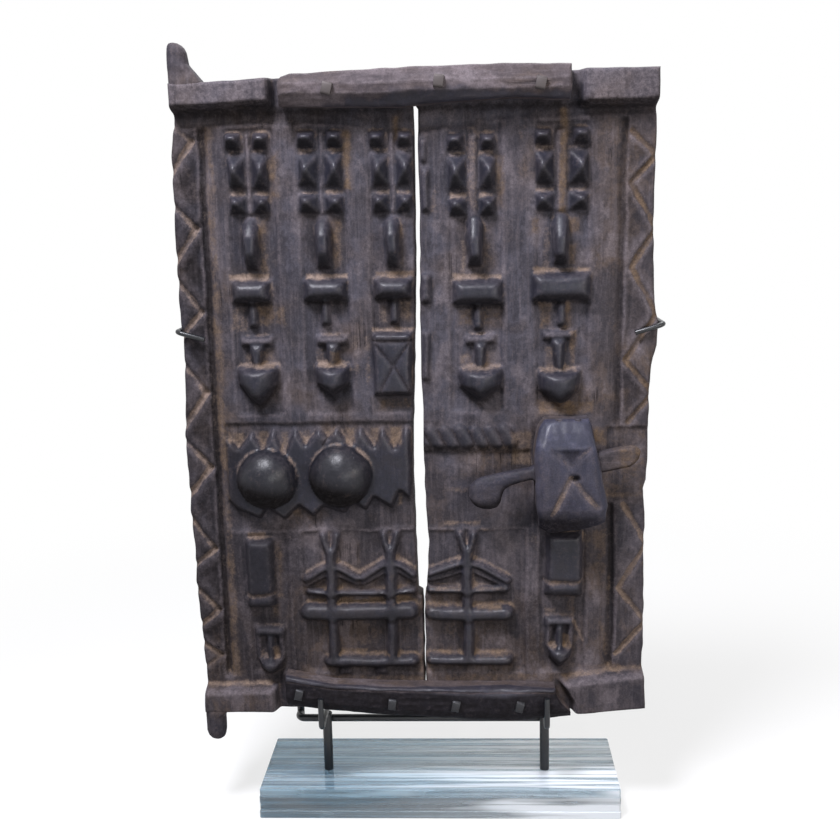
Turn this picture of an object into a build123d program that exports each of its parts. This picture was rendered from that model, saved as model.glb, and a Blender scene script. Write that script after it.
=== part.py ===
"""Carved two-plank granary shutter with a wooden slide lock, on its glass and steel stand."""
from build123d import *
import os
from math import hypot

# ---------------------------------------------------------------- driving dimensions, mm
# The door is drawn in its own frame: x = 0 on the middle of the door, y = 0 on the
# front of the planks (carving stands towards -y), z = 0 at the foot of the planks.
DOOR_H = 650.0            # height of the planks without the pintles
DOOR_W = 466.0            # width over both planks
PLANK_T = 34.0            # thickness of the planks
FIELD = 3.0               # depth of the sunk fields between the plain strips
ROOT = 1.0                # how far a raised motif reaches in under its floor
SEAM = 0.5                # half of the closed joint above and below the open slit
SLIT_FOOT = 125.0         # the planks stand apart between these two heights
SLIT_HEAD = 621.0

PINTLE_X = -223.5         # common axis of the upper and lower pintle, near the front
PINTLE_Y = -5.0
PINTLE_R = 10.5
PINTLE_DOME = 5.0         # height of their rounded ends
UPPER_PINTLE = (646.0, 660.0, 683.5)    # root, flat shoulder and end
LOWER_PINTLE = (8.0, -1.0, -28.5)

RAIL_PROUD = 16.0         # carved rails of the planks
TOP_BATTEN_PROUD = 28.0
BOTTOM_BATTEN_PROUD = 24.0

STAPLE_H = 12.0           # forged staples through the battens
STAPLE_ROD = 3.0
STAPLE_W = 5.0
STAPLE_CROWN = 3.0
STAPLE_BITE = 22.0        # depth of the legs in the planks

# Row one of the five carved columns: outer and inner edge of the left wing, inner and
# outer edge of the right wing, and the top of both.
ROW_ONE = ((-183, -164, -161, -142, 598), (-114, -92, -90, -69, 598), (-43, -23, -20, -3, 597),
           (32, 52, 60, 78, 592), (115, 137, 147, 168, 596))
BEAKS = (-162, -91, -23, 57, 141)
V_WIDTH = 6.0             # the cut zigzags of the two borders
V_DEPTH = 3.5
EDGE_GROOVE = (9.0, 5.0)  # width and depth of the groove beside each border

BOLT_SLOPE = 11.3         # degrees that the lock bolt climbs to the right
BOLT_ORIGIN = (148.0, 267.6)                    # middle of the lock case, x and z
BOLT_HALF = 10.0          # half height of the bolt
BOLT_BACK = -14.0
BOLT_FRONT = -30.0
BOLT_PLAY = 0.5           # clearance of the bolt in its passage
CASE_PROUD = 42.0

TUMBLER_S = (0.0, 18.0)   # places of the two tumblers along the bolt
TUMBLER_R = 3.0
TUMBLER_L = 22.0
TUMBLER_PLAY = 0.4
SHAFT_TOP = 40.0          # height of the shafts above the bolt's axis
BOLT_THROW = 26.0
TUMBLER_HOLE = 9.0        # depth of the tumbler holes in the bolt

GLASS_T = 8.0
GLASS_COUNT = 4
BASE_W = 380.0
BASE_D = 119.0
DOOR_LIFT = 75.0          # foot of the planks above the glass
POST_X = (-108.0, 126.0)
POST_Y = 16.0
POST_R = 5.0
POST_TOP = -10.0          # heights on the stand are from the foot of the planks
BAR_R = 4.0
BAR_Z = -20.0             # crossbar behind the posts
UPRIGHT_X = (-140.0, 126.0)
UPRIGHT_GAP = 2.0         # between the uprights and the back of the planks
HOOK_R = 3.0
HOOK_TOP = 26.0
HOOK_GAP = 1.0            # between the hooks and the lower batten
CLIP_R = 2.5
CLIP_Z = 407.0
CLIP_GAP = 0.5            # between the clips and the wood
CLIP_REACH = 25.0         # how far a clip reaches over the front
CLIP_DROP = 8.0
PLANK_EDGE = (-238.5, 239.0)    # outer edges of the planks at the height of the clips
SCREW_HEAD_R = 8.0
SCREW_R = 3.0
SCREW_BITE = 12.0         # depth of the screws in the posts

TINY = 1e-6

# The part's origin is the middle of the stand's underside.
DOOR_X = -13.0
DOOR_Y = -28.0
DOOR_Z = GLASS_COUNT * GLASS_T + DOOR_LIFT


# ---------------------------------------------------------------- shaping helpers
def prism(outline, y_back, y_front):
    """An outline of (x, z) points, extruded from y_back towards the viewer."""
    face = Plane.XZ.offset(-y_back) * Polygon(*outline, align=None)
    return extrude(face, y_back - y_front, dir=(0, -1, 0))


def flat_face(corners):
    return Face(Wire.make_polygon(corners))


def tapered(lower, upper):
    """A flat-sided solid between two flat outlines with equal point counts."""
    faces = [flat_face(lower), flat_face(upper)]
    for i in range(len(lower)):
        a, b, c, d = lower[i - 1], lower[i], upper[i], upper[i - 1]
        if (b - a).cross(c - d).length < TINY:
            faces.append(flat_face([a, b, c, d]))
        else:
            faces += [flat_face([a, b, c]), flat_face([a, c, d])]
    return Solid(Shell(faces))


def frustum(back, front, y_back, y_front):
    """A flat-sided solid between two (x, z) outlines at two depths."""
    lower = [Vector(x, y_back, z) for x, z in back]
    upper = [Vector(x, y_front, z) for x, z in front]
    return tapered(lower, upper)


def rect(x0, x1, z0, z1):
    return [(x0, z0), (x1, z0), (x1, z1), (x0, z1)]


def stud(x0, x1, z0, z1, proud, draft=2.5, floor=FIELD):
    """A raised block with sloping sides, rooted just under the floor."""
    back = rect(x0, x1, z0, z1)
    front = rect(x0 + draft, x1 - draft, z0 + draft, z1 - draft)
    return frustum(back, front, floor + ROOT, -proud)


def boss(outline, centre, keep, proud, floor=FIELD):
    """A raised shape that shrinks towards its centre."""
    cx, cz = centre
    front = [(cx + keep * (x - cx), cz + keep * (z - cz)) for x, z in outline]
    return frustum(outline, front, floor + ROOT, -proud)


def groove(start, end, width, depth, surface=0.0):
    """A V-shaped cutter along a straight line on the face at y = surface."""
    (x0, z0), (x1, z1) = start, end
    length = hypot(x1 - x0, z1 - z0)
    dx, dz = (x1 - x0) / length, (z1 - z0) / length
    plane = Plane(origin=(x0, surface, z0), x_dir=(dz, 0, -dx), z_dir=(dx, 0, dz))
    vee = Polygon((-width / 2, -1), (width / 2, -1), (0, depth), align=None)
    return extrude(plane * vee, length, dir=(dx, 0, dz))


def grooves(points, width, depth, surface=0.0):
    """V cutters along each stretch of a line of points."""
    return [groove(a, b, width, depth, surface) for a, b in zip(points, points[1:])]


def carve(shape, cutters):
    """Take the cutters away one after another."""
    for cutter in cutters:
        shape -= cutter
    return shape


def rod(points, radius, bend):
    """A round rod through (x, y, z) points, with each corner turned in two mitres."""
    route = [Vector(points[0])]
    for before, corner, after in zip(points, points[1:], points[2:]):
        corner = Vector(corner)
        route.append(corner + (Vector(before) - corner).normalized() * bend)
        route.append(corner + (Vector(after) - corner).normalized() * bend)
    route.append(Vector(points[-1]))
    path = Polyline(*route)
    section = Plane(origin=path @ 0, z_dir=path % 0) * Circle(radius)
    return sweep(section, path=path, transition=Transition.RIGHT)


# ---------------------------------------------------------------- carved motifs
def wing(inner, outer, high):
    """A square, a tall pyramid and a half pyramid, each proudest near the outer edge."""
    x0, x1 = min(inner, outer), max(inner, outer)
    near = outer + 0.8 * (inner - outer)
    crest = outer + 0.26 * (inner - outer)
    tall, low = rect(x0, x1, high - 54, high - 18), rect(x0, x1, high - 78, high - 58)
    return [
        stud(min(near, outer), max(near, outer), high - 15, high, 7),
        frustum(tall, rect(crest - 1, crest + 1, high - 36, high - 33), FIELD + ROOT, -13),
        frustum(low, rect(crest - 2, crest + 2, high - 66, high - 63), FIELD + ROOT, -10),
    ]


def row_one(left, left_inner, right_inner, right, high):
    """Two wings on either side of a low rib."""
    rib = stud(left_inner - 0.5, right_inner + 0.5, high - 78, high, 2, 1)
    return [rib] + wing(left_inner, left, high) + wing(right_inner, right, high)


def beak(x):
    """A long narrow wedge, proudest near its top."""
    back = [(x - 7, 467), (x + 8, 467), (x + 6, 490), (x + 6, 511), (x + 3, 517), (x - 4, 517),
            (x - 8, 511), (x - 6, 490)]
    front = [(x - 2, 494), (x + 1, 494), (x + 1, 496), (x + 1, 498), (x, 500), (x - 1, 500),
             (x - 2, 498), (x - 2, 496)]
    return frustum(back, front, FIELD + ROOT, -14)


def bar_and_neck(x0, x1, z0, z1):
    """A cross bar with the thin post under it."""
    mid = (x0 + x1) / 2
    return [
        stud(x0, x1, z0, z1, 11, 3.5),
        stud(mid - 4.5, mid + 4.5, z0 - 25, z0 + 3, 4, 1.5),
    ]


def arch_and_heart(x, top, half, shoulder, tip):
    """A low arch over a stem that stands on a pointed, rounded boss."""
    heart = [(x - half + 2, shoulder - 1), (x + half - 2, shoulder - 1), (x + half, shoulder - 7),
             (x + half - 1.5, shoulder - 19), (x + half / 2, tip + 9), (x, tip),
             (x - half / 2, tip + 9), (x - half + 1.5, shoulder - 19), (x - half, shoulder - 7)]
    stem = [(x - 4, shoulder - 4), (x + 4, shoulder - 4), (x + 8, top - 7), (x - 8, top - 7)]
    return [
        stud(x - 16, x + 16, top - 9, top + 1, 4, 2),
        boss(stem, (x, (top + shoulder) / 2), 0.6, 6),
        boss(heart, (x, shoulder - 14), 0.4, 18),
    ]


def anchor(x, top, bowl, tip):
    """The small arch and pointed bowl near the foot of a column."""
    half = 14
    cup = [(x - half, bowl + 6), (x + half, bowl + 6), (x + half - 3, bowl - 6), (x, tip),
           (x - half + 3, bowl - 6)]
    return [
        stud(x - 16, x - 10, bowl + 4, top, 4, 1.5),
        stud(x + 10, x + 16, bowl + 4, top, 4, 1.5),
        stud(x - 16, x + 16, top - 9, top + 1, 5, 2),
        stud(x - 4, x + 4, bowl + 2, top - 8, 5, 1.5),
        boss(cup, (x, bowl), 0.4, 13),
    ]


def figure(x, foot, head):
    """A standing figure: a trunk that forks into two raised horns at the head."""
    horns = []
    for side in (-1, 1):
        fork = [(x, head - 22), (x + 9 * side, head - 6), (x + 9 * side, head + 2),
                (x + 3 * side, head + 2), (x - 3 * side, head - 14)]
        if side < 0:
            fork = fork[::-1]
        horns.append(boss(fork, (x + 4 * side, head - 8), 0.7, 7))
    return [stud(x - 6, x + 6, foot, head - 12, 8)] + horns


def arm(shoulder, hand):
    """A sloping arm between two points, 7 mm wide."""
    (x0, z0), (x1, z1) = shoulder, hand
    length = hypot(x1 - x0, z1 - z0)
    px, pz = 3.5 * (z1 - z0) / length, -3.5 * (x1 - x0) / length
    outline = [(x0 + px, z0 + pz), (x1 + px, z1 + pz), (x1 - px, z1 - pz), (x0 - px, z0 - pz)]
    centre = ((x0 + x1) / 2, (z0 + z1) / 2)
    return boss(outline, centre, 0.8, 6)


def dome(x, z, radius, proud):
    """A rounded boss, cut off just behind the floor it grows from."""
    ball = Pos(x, radius - proud, z) * Sphere(radius)
    behind = Pos(x, FIELD + 2 + radius, z) * Box(3 * radius, 2 * radius, 3 * radius)
    return ball - behind


def toothed_band(proud):
    """A raised band with hand-cut saw teeth along its upper and lower edge."""
    low = [(-200, 232), (-190, 222), (-165, 212), (-157, 224), (-141, 210), (-126, 226),
           (-111, 213), (-100, 224), (-79, 217), (-70, 228), (-57, 219), (-48, 233),
           (-30, 222), (-22, 240), (-9, 229)]
    high = [(-200, 300), (-185, 289), (-172, 305), (-161, 289), (-149, 309), (-139, 283),
            (-128, 310), (-117, 291), (-103, 308), (-93, 298), (-84, 308), (-71, 290),
            (-60, 308), (-46, 289), (-38, 309), (-26, 287), (-14, 311), (-9, 300)]
    return prism(low + high[::-1], FIELD + ROOT, -proud)


def rope_band(x0, x1, z0, z1, strands, proud):
    """Leaning strands side by side, like a laid rope."""
    step = (x1 - x0) / strands
    gap = 0.8
    pieces = [stud(x0, x1, z0 + 1, z1 - 1, 1, 1)]
    for i in range(strands):
        x = x0 + i * step
        lean = 0 if i == strands - 1 else 0.6 * step
        strand = [(x + gap, z0), (x + step + lean - gap, z0), (x + step - gap, z1),
                  (x + gap, z1)]
        pieces.append(boss(strand, (x + step / 2, (z0 + z1) / 2), 0.6, proud))
    return pieces


def left_border():
    """Zigzag of V cuts down the hinge-side border, and the groove beside it."""
    right = [592, 509, 426, 344, 266, 179, 113, 62]
    left = [(558, 533), (472, 460), (397, 379), (310, 295), (236, 214), (159, 140), (91, 82)]
    cuts = []
    for i, (upper, lower) in enumerate(left):
        cuts.append(groove((-216, right[i]), (-240, upper), V_WIDTH, V_DEPTH))
        cuts.append(groove((-240, lower), (-216, right[i + 1]), V_WIDTH, V_DEPTH))
    cuts += grooves([(-209, 606), (-211, 300), (-210, 40)], *EDGE_GROOVE)
    return cuts


def right_border():
    """Zigzag of V cuts down the free edge, broken where the bolt passes."""
    upper = [(209, 592), (233, 570), (209, 543), (233, 500), (210, 462), (235, 417),
             (205, 371), (233, 337), (209, 308)]
    lower = [(205, 224), (229, 182), (200, 134), (229, 98), (199, 63)]
    cuts = grooves(upper, V_WIDTH, V_DEPTH) + grooves(lower, V_WIDTH, V_DEPTH)
    cuts += grooves([(204, 606), (200, 431), (199, 306)], *EDGE_GROOVE)
    cuts += grooves([(194, 226), (194, 46)], *EDGE_GROOVE)
    return cuts


# ---------------------------------------------------------------- the two planks
def column_fields(columns):
    """Sunk panels behind the upper rows of motifs."""
    fields = []
    for x0, x1, z0, z1 in columns:
        fields.append(prism(rect(x0, x1, z0, z1), FIELD, -1))
    return fields


def level(x0, x1, y0, y1, z):
    return [Vector(x0, y0, z), Vector(x1, y0, z), Vector(x1, y1, z), Vector(x0, y1, z)]


def pintle(root, shoulder, end, root_sides):
    """A round pivot with a domed end, on the flat shoulder of its tapered root."""
    reach = PINTLE_R + 1
    top = level(PINTLE_X - reach, PINTLE_X + reach, PINTLE_Y - reach, PINTLE_Y + reach, shoulder)
    length = abs(end - shoulder)
    profile = [(0, -2), (PINTLE_R, -2), (PINTLE_R, length - PINTLE_DOME),
               (PINTLE_R * 0.72, length - 1.2), (PINTLE_R * 0.3, length), (0, length)]
    pin = revolve(Plane.XZ * Polygon(*profile, align=None), Axis.Z)
    if end < shoulder:
        pin = Rot(180, 0, 0) * pin
    return tapered(level(*root_sides, root), top) + Pos(PINTLE_X, PINTLE_Y, shoulder) * pin


def make_left_plank(staples):
    outline = [(-234, 4), (-235, 67), (-239, 150), (-240, 221), (-241, 299), (-238, 350),
               (-237, 397), (-239, 450), (-238, 570), (-234, 619), (-233.5, DOOR_H - 4),
               (-200, DOOR_H - 4), (-120, DOOR_H), (-SEAM, DOOR_H + 2), (-SEAM, SLIT_HEAD),
               (0, 524), (-2, 428), (-5, 340), (-8, 270), (-7, 195), (-6, SLIT_FOOT + 1),
               (-SEAM, SLIT_FOOT), (-SEAM, 1), (-140, 3), (-205, 4)]
    plank = prism(outline, PLANK_T, 0)
    plank -= column_fields([
        (-184, -137, 322, 603), (-113, -67, 322, 603), (-45, 20, 322, 603),
        (-200, 20, 200, 312),
        (-182, -140, 44, 196), (-124, 20, 44, 198),
    ])
    under_rails = [(-250, 603), (-160, 607), (20, 600), (20, 620), (-250, 619)]
    plank -= prism(under_rails, FIELD, -1)
    relief = [
        prism([(-231, 619), (-135, 622), (-135, 646), (-231, 646)], 1, -RAIL_PROUD),
        prism([(-231, 5), (-155, 5), (-156, 32), (-231, 30)], 1, -RAIL_PROUD),
    ]
    for edges, x in zip(ROW_ONE[:3], BEAKS[:3]):
        relief += row_one(*edges)
        relief.append(beak(x))
    relief += bar_and_neck(-184, -145, 435, 457)
    relief += bar_and_neck(-112, -69, 436, 457)
    relief += bar_and_neck(-42, -5, 437, 457)
    relief += arch_and_heart(-161.5, 400, 21, 371, 331)
    relief += arch_and_heart(-86, 400, 18, 371, 338)
    relief.append(stud(-46, -6, 339, 404, 8, 2.5))
    relief.append(toothed_band(5))
    relief.append(dome(-157, 256, 32, 29))
    relief.append(dome(-81.5, 258, 33, 30))
    relief.append(stud(-182, -155, 118, 191, 9, 3))
    relief += anchor(-162.5, 94, 55, 42)
    relief += figure(-95, 52, 194) + figure(-33.5, 52, 195)
    relief += [
        stud(-125, -8, 103, 121, 9, 3.5), stud(-122, -8, 130, 136, 5, 2),
        stud(-104, -8, 51, 63, 8, 3),
        arm((-95, 163), (-122, 147)), arm((-95, 162), (-68, 149)),
        arm((-34, 166), (-63, 149)), arm((-34, 166), (-9, 151)),
    ]
    plank += relief
    cross = [[(-41, 344), (-11, 391)], [(-41, 391), (-11, 344)], [(-43, 395), (-9, 395)]]
    for line in cross:
        plank = carve(plank, grooves(line, 5, 3, -8))
    plank = carve(plank, left_border())
    plank += pintle(*UPPER_PINTLE, (-233.5, -200, -15.5, 14))
    plank += pintle(*LOWER_PINTLE, (-233, -209, -15.5, 7))
    return plank - staples


def make_right_plank(staples, nails):
    outline = [(SEAM, 1), (SEAM, SLIT_FOOT), (3, SLIT_FOOT + 1), (6, 185), (3, 270),
               (2, 428), (4, 523), (3, 579), (4, SLIT_HEAD), (SEAM, SLIT_HEAD + 1),
               (SEAM, DOOR_H + 2), (150, DOOR_H), (233, DOOR_H),
               (233, 585), (232, 500), (234, 428), (238, 407), (233, 372), (230, 300),
               (228, 244), (226, 237), (228, 194), (227, 100), (227, 37), (228, 8), (150, 0)]
    plank = prism(outline, PLANK_T, 0)
    plank -= column_fields([
        (32, 84, 322, 603), (117, 168, 322, 603),
        (0, 112, 200, 281),
        (0, 106, 44, 198), (120, 166, 44, 200), (188, 240, 228, 304),
    ])
    under_rails = [(-20, 592), (60, 601), (100, 606), (250, 606), (250, 616), (-20, 621)]
    plank -= prism(under_rails, FIELD, -1)
    relief = [
        prism([(159, 615), (233, 617), (233, 650), (159, 652)], 1, -RAIL_PROUD),
        prism([(155, 0), (193, 5), (228, 10), (227, 48), (169, 42), (140, 37)], 1, -RAIL_PROUD),
    ]
    for edges, x in zip(ROW_ONE[3:], BEAKS[3:]):
        relief += row_one(*edges)
        relief.append(beak(x))
    relief += bar_and_neck(35, 85, 429, 454) + bar_and_neck(113, 171, 432, 459)
    relief += arch_and_heart(62, 398, 21.5, 366, 332)
    relief += arch_and_heart(139.5, 402, 21.5, 363, 326)
    relief += [        # what the slit leaves of the third column on this plank
        stud(5, 14.5, 520, 562, 6, 2), stud(4.5, 12.5, 567, 590, 5, 2),
        stud(3.5, 14.5, 431, 461, 7, 2), stud(3.5, 12, 354, 404, 6, 2),
    ]
    relief += rope_band(6, 94, 287, 305, 6, 5)
    relief.append(stud(128, 162, 129, 196, 10, 3.5))
    relief += anchor(141, 103, 66, 48)
    relief += figure(46, 52, 194)
    relief += [
        stud(4, 91, 102, 118, 9, 3.5), stud(5, 88, 131, 138, 5, 2),
        stud(4, 90, 52, 64, 8, 3),
        arm((46, 164), (6, 152)), arm((46, 165), (87, 144)),
    ]
    plank += relief
    plank = carve(plank, right_border())
    return plank - staples - nails


# ---------------------------------------------------------------- battens and staples
def make_top_batten():
    outline = [(-127, 621), (-11, 618), (23, 621), (101, 624), (150, 621), (150, 654),
               (89, 656), (0, 655), (-60, 653), (-115, 651), (-124, 648), (-127, 642)]
    bar = prism(outline, 0, -TOP_BATTEN_PROUD)
    section = [(1, 610), (-18, 610), (-TOP_BATTEN_PROUD, 630), (-TOP_BATTEN_PROUD, 641),
               (-20, 660), (1, 660)]
    return bar & side_section(section)


def make_bottom_batten():
    outline = [(-146, 13), (-109, 8), (-62, 3), (-5, 0), (50, -4), (80, -7), (118, -4),
               (152, 0), (136, 33), (106, 34), (-28, 35), (-94, 38), (-139, 47), (-144, 48)]
    bar = prism(outline, 0, -BOTTOM_BATTEN_PROUD)
    section = [(1, -10), (-16, -10), (-BOTTOM_BATTEN_PROUD, 8), (-BOTTOM_BATTEN_PROUD, 26),
               (-14, 50), (1, 50)]
    return bar & side_section(section)


def side_section(points):
    """A (y, z) section drawn out over the whole width of the door."""
    face = Plane.YZ.offset(-DOOR_W) * Polygon(*points, align=None)
    return extrude(face, 2 * DOOR_W, dir=(1, 0, 0))


def make_staples(places, front):
    """Forged staples: an upright flat crown with a leg at each end."""
    group = []
    depth = STAPLE_CROWN + front + STAPLE_BITE
    for x, z in places:
        group.append(Pos(x, -front - STAPLE_CROWN / 2, z) * Box(STAPLE_W, STAPLE_CROWN, STAPLE_H))
        for side in (-1, 1):
            leg_z = z + side * (STAPLE_H - STAPLE_ROD) / 2
            leg = Pos(x, -front - STAPLE_CROWN + depth / 2, leg_z) * Box(STAPLE_ROD, depth, STAPLE_ROD)
            group.append(leg)
    return group[0] + group[1:]


# ---------------------------------------------------------------- the lock
def on_bolt(shape):
    """Move a shape from the bolt's frame (s along it, t across it) to the door's."""
    x, z = BOLT_ORIGIN
    return Pos(x, 0, z) * Rot(0, -BOLT_SLOPE, 0) * shape


def shaft(s, bottom, top, radius):
    """An upright round shaft over the bolt, in the bolt's frame."""
    y = (BOLT_BACK + BOLT_FRONT) / 2
    return on_bolt(Pos(s, y, (bottom + top) / 2) * Cylinder(radius, top - bottom))


def case_body():
    outline = [(118, 207), (128, 201), (160, 204), (184, 213), (186, 221), (178, 270),
               (171, 312), (167, 317), (125, 317), (118, 312), (113, 285), (114, 230)]
    section = [(0, 196), (-26, 196), (-CASE_PROUD, 226), (-CASE_PROUD + 1, 288),
               (-26, 319), (0, 319)]
    return prism(outline, 0, -CASE_PROUD) & side_section(section)


def make_shaft_plugs():
    body = case_body()
    radius = TUMBLER_R + TUMBLER_PLAY
    plugs = [shaft(s, SHAFT_TOP, SHAFT_TOP + 30, radius) & body for s in TUMBLER_S]
    return plugs[0] + plugs[1]


def make_lock_case(nails):
    half = BOLT_HALF + BOLT_PLAY
    back = BOLT_BACK + BOLT_PLAY
    front = BOLT_FRONT - BOLT_PLAY
    case = case_body()
    case -= on_bolt(Pos(0, (back + front) / 2, 0) * Box(160, back - front, 2 * half))
    for s in TUMBLER_S:
        case -= shaft(s, 0, SHAFT_TOP + 30, TUMBLER_R + TUMBLER_PLAY)
    hourglass = grooves([(131, 289), (148, 272), (165, 289)], 6, 3, -CASE_PROUD)
    hourglass += grooves([(132, 229), (149, 261), (153, 261), (174, 232)], 6, 3, -CASE_PROUD)
    return carve(case, hourglass) - nails


def make_lock_bolt():
    """Hooked grip at the left, thin neck, full bolt and rounded nose at the right."""
    outline = [(-103, -8), (-100, -17), (-92, -23.5), (-81, -25.5), (-73, -21), (-68.5, -8.5),
               (-55, -4), (-37, -3), (-32, -BOLT_HALF), (60, -BOLT_HALF), (69, -5), (72, 3),
               (68, 9), (62, BOLT_HALF), (-32, BOLT_HALF), (-36, 8.5), (-57, 9.5), (-87, 9.5),
               (-96, 6), (-102, -1)]
    flat = prism(outline, BOLT_BACK, BOLT_FRONT)
    grip = [(-110, BOLT_BACK - 3), (-98, BOLT_BACK), (66, BOLT_BACK), (80, BOLT_BACK - 6),
            (80, BOLT_FRONT + 6), (66, BOLT_FRONT), (-98, BOLT_FRONT), (-110, BOLT_FRONT + 3)]
    plan = Plane.XY.offset(-40) * Polygon(*grip, align=None)
    bolt = on_bolt(flat & extrude(plan, 80, dir=(0, 0, 1)))
    for s in TUMBLER_S:
        bolt -= shaft(s - BOLT_THROW, BOLT_HALF - TUMBLER_HOLE, BOLT_HALF + 5, TUMBLER_R + 0.5)
    return bolt


def make_tumbler(s):
    foot = BOLT_HALF + BOLT_PLAY
    return shaft(s, foot, foot + TUMBLER_L, TUMBLER_R)


def make_nails():
    """Two nails through the plank from behind into the lock case."""
    group = []
    for x, z, tip in ((136, 303, -11), (150, 221, -30)):
        length = PLANK_T + 1 - tip
        nail = Pos(x, tip + length / 2, z) * Box(4.5, length, 4.5)
        head = Pos(x, PLANK_T + 1.5, z) * Box(12, 3, 12)
        group += [nail, head]
    return group[0] + group[1:]


# ---------------------------------------------------------------- the stand
def base_screw_holes(radius, z_low, z_high):
    cutters = []
    for x in POST_X:
        centre = Pos(x + DOOR_X, POST_Y + DOOR_Y, (z_low + z_high) / 2)
        cutters.append(centre * Cylinder(radius, z_high - z_low))
    return cutters


def make_glass_plate(index):
    low = index * GLASS_T
    plate = Pos(0, 0, low + GLASS_T / 2) * Box(BASE_W, BASE_D, GLASS_T)
    plate = chamfer(plate.edges().filter_by(Axis.Z), 1.5)
    radius = SCREW_HEAD_R + 1 if index == 0 else SCREW_R + 0.2
    return plate - base_screw_holes(radius, low - 1, low + GLASS_T + 1)


def make_base_screws():
    """Screws up through the glass: a flat head in the lowest plate, thread in the post."""
    heads = base_screw_holes(SCREW_HEAD_R, 2.5, GLASS_T)
    shanks = base_screw_holes(SCREW_R, GLASS_T, GLASS_COUNT * GLASS_T + SCREW_BITE)
    return heads[0] + heads[1:] + shanks


def door(shape):
    """Move a shape from the door's frame to the part's frame."""
    return Pos(DOOR_X, DOOR_Y, DOOR_Z) * shape


def make_crossbar(uprights):
    """A bar behind the posts whose bent ends reach back to the uprights."""
    y, back = POST_Y + POST_R + BAR_R, PLANK_T + UPRIGHT_GAP + BAR_R
    left, right = UPRIGHT_X
    route = [(left, back, BAR_Z), (left, y, BAR_Z), (right, y, BAR_Z), (right, back, BAR_Z)]
    return rod(route, BAR_R, 7) - uprights


def make_upright(x):
    y, foot = PLANK_T + UPRIGHT_GAP + BAR_R, BAR_Z - BAR_R
    return Pos(x, y, (CLIP_Z + foot) / 2) * Cylinder(BAR_R, CLIP_Z - foot)


def make_post(x, screws):
    foot = -DOOR_LIFT
    post = Pos(x, POST_Y, (foot + POST_TOP) / 2) * Cylinder(POST_R, POST_TOP - foot)
    return post - Pos(-DOOR_X, -DOOR_Y, -DOOR_Z) * screws


def make_hook(x, front):
    """A rod under the foot of the door that turns up in front of the batten."""
    y, low = -front - HOOK_GAP - HOOK_R, POST_TOP + HOOK_R
    return rod([(x, POST_Y, low), (x, y, low), (x, y, HOOK_TOP)], HOOK_R, 6)


def make_clip(side):
    """A thin rod from the upright round the edge of the plank to its front."""
    direction = (-1, 1)[side]
    outer = PLANK_EDGE[side] + direction * (CLIP_R + CLIP_GAP)
    tip = PLANK_EDGE[side] - direction * CLIP_REACH
    back = PLANK_T + UPRIGHT_GAP + 2 * BAR_R + CLIP_R
    front = -CLIP_R - CLIP_GAP
    path = [(UPRIGHT_X[side], back, CLIP_Z), (outer, back, CLIP_Z), (outer, front, CLIP_Z),
            (tip, front, CLIP_Z - CLIP_DROP)]
    return rod(path, CLIP_R, 5)


# ---------------------------------------------------------------- build and write
def build_all():
    top_staples = make_staples([(-79.5, 636), (25.5, 640), (120.5, 636)], TOP_BATTEN_PROUD)
    bottom_staples = make_staples([(-131, 29), (-34, 18), (32, 16), (98, 15)],
                                  BOTTOM_BATTEN_PROUD)
    staples = top_staples + bottom_staples
    nails = make_nails()
    plugs = make_shaft_plugs()
    screws = make_base_screws()
    uprights = [make_upright(x) for x in UPRIGHT_X]
    parts = {
        "left_plank": door(make_left_plank(staples)),
        "right_plank": door(make_right_plank(staples, nails)),
        "top_batten": door(make_top_batten() - top_staples),
        "bottom_batten": door(make_bottom_batten() - bottom_staples),
        "top_staples": door(top_staples),
        "bottom_staples": door(bottom_staples),
        "lock_case": door(make_lock_case(nails) - plugs),
        "lock_case_nails": door(nails),
        "shaft_plugs": door(plugs),
        "lock_bolt": door(make_lock_bolt()),
        "base_screws": screws,
        "crossbar": door(make_crossbar(uprights)),
        "clip_left": door(make_clip(0)),
        "clip_right": door(make_clip(1)),
    }
    for i, s in enumerate(TUMBLER_S):
        parts[f"tumbler_pin_{i + 1}"] = door(make_tumbler(s))
    for i in range(GLASS_COUNT):
        parts[f"glass_plate_{i + 1}"] = make_glass_plate(i)
    for name, x, upright_x in zip(("left", "right"), POST_X, UPRIGHT_X):
        parts["post_" + name] = door(make_post(x, screws))
        parts["hook_" + name] = door(make_hook(x, BOTTOM_BATTEN_PROUD))
        parts["upright_" + name] = door(make_upright(upright_x))
    return parts


def main():
    os.makedirs("parts", exist_ok=True)
    for name, shape in build_all().items():
        export_step(shape, f"parts/{name}.step")
        print(name, len(shape.solids()), round(shape.volume), shape.is_valid)


main()
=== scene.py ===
from math import cos, pi, radians, sin

import bmesh
import bpy
import numpy as np
from bpy.props import FloatProperty, FloatVectorProperty, IntProperty, PointerProperty
from mathutils import Matrix, Vector


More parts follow.
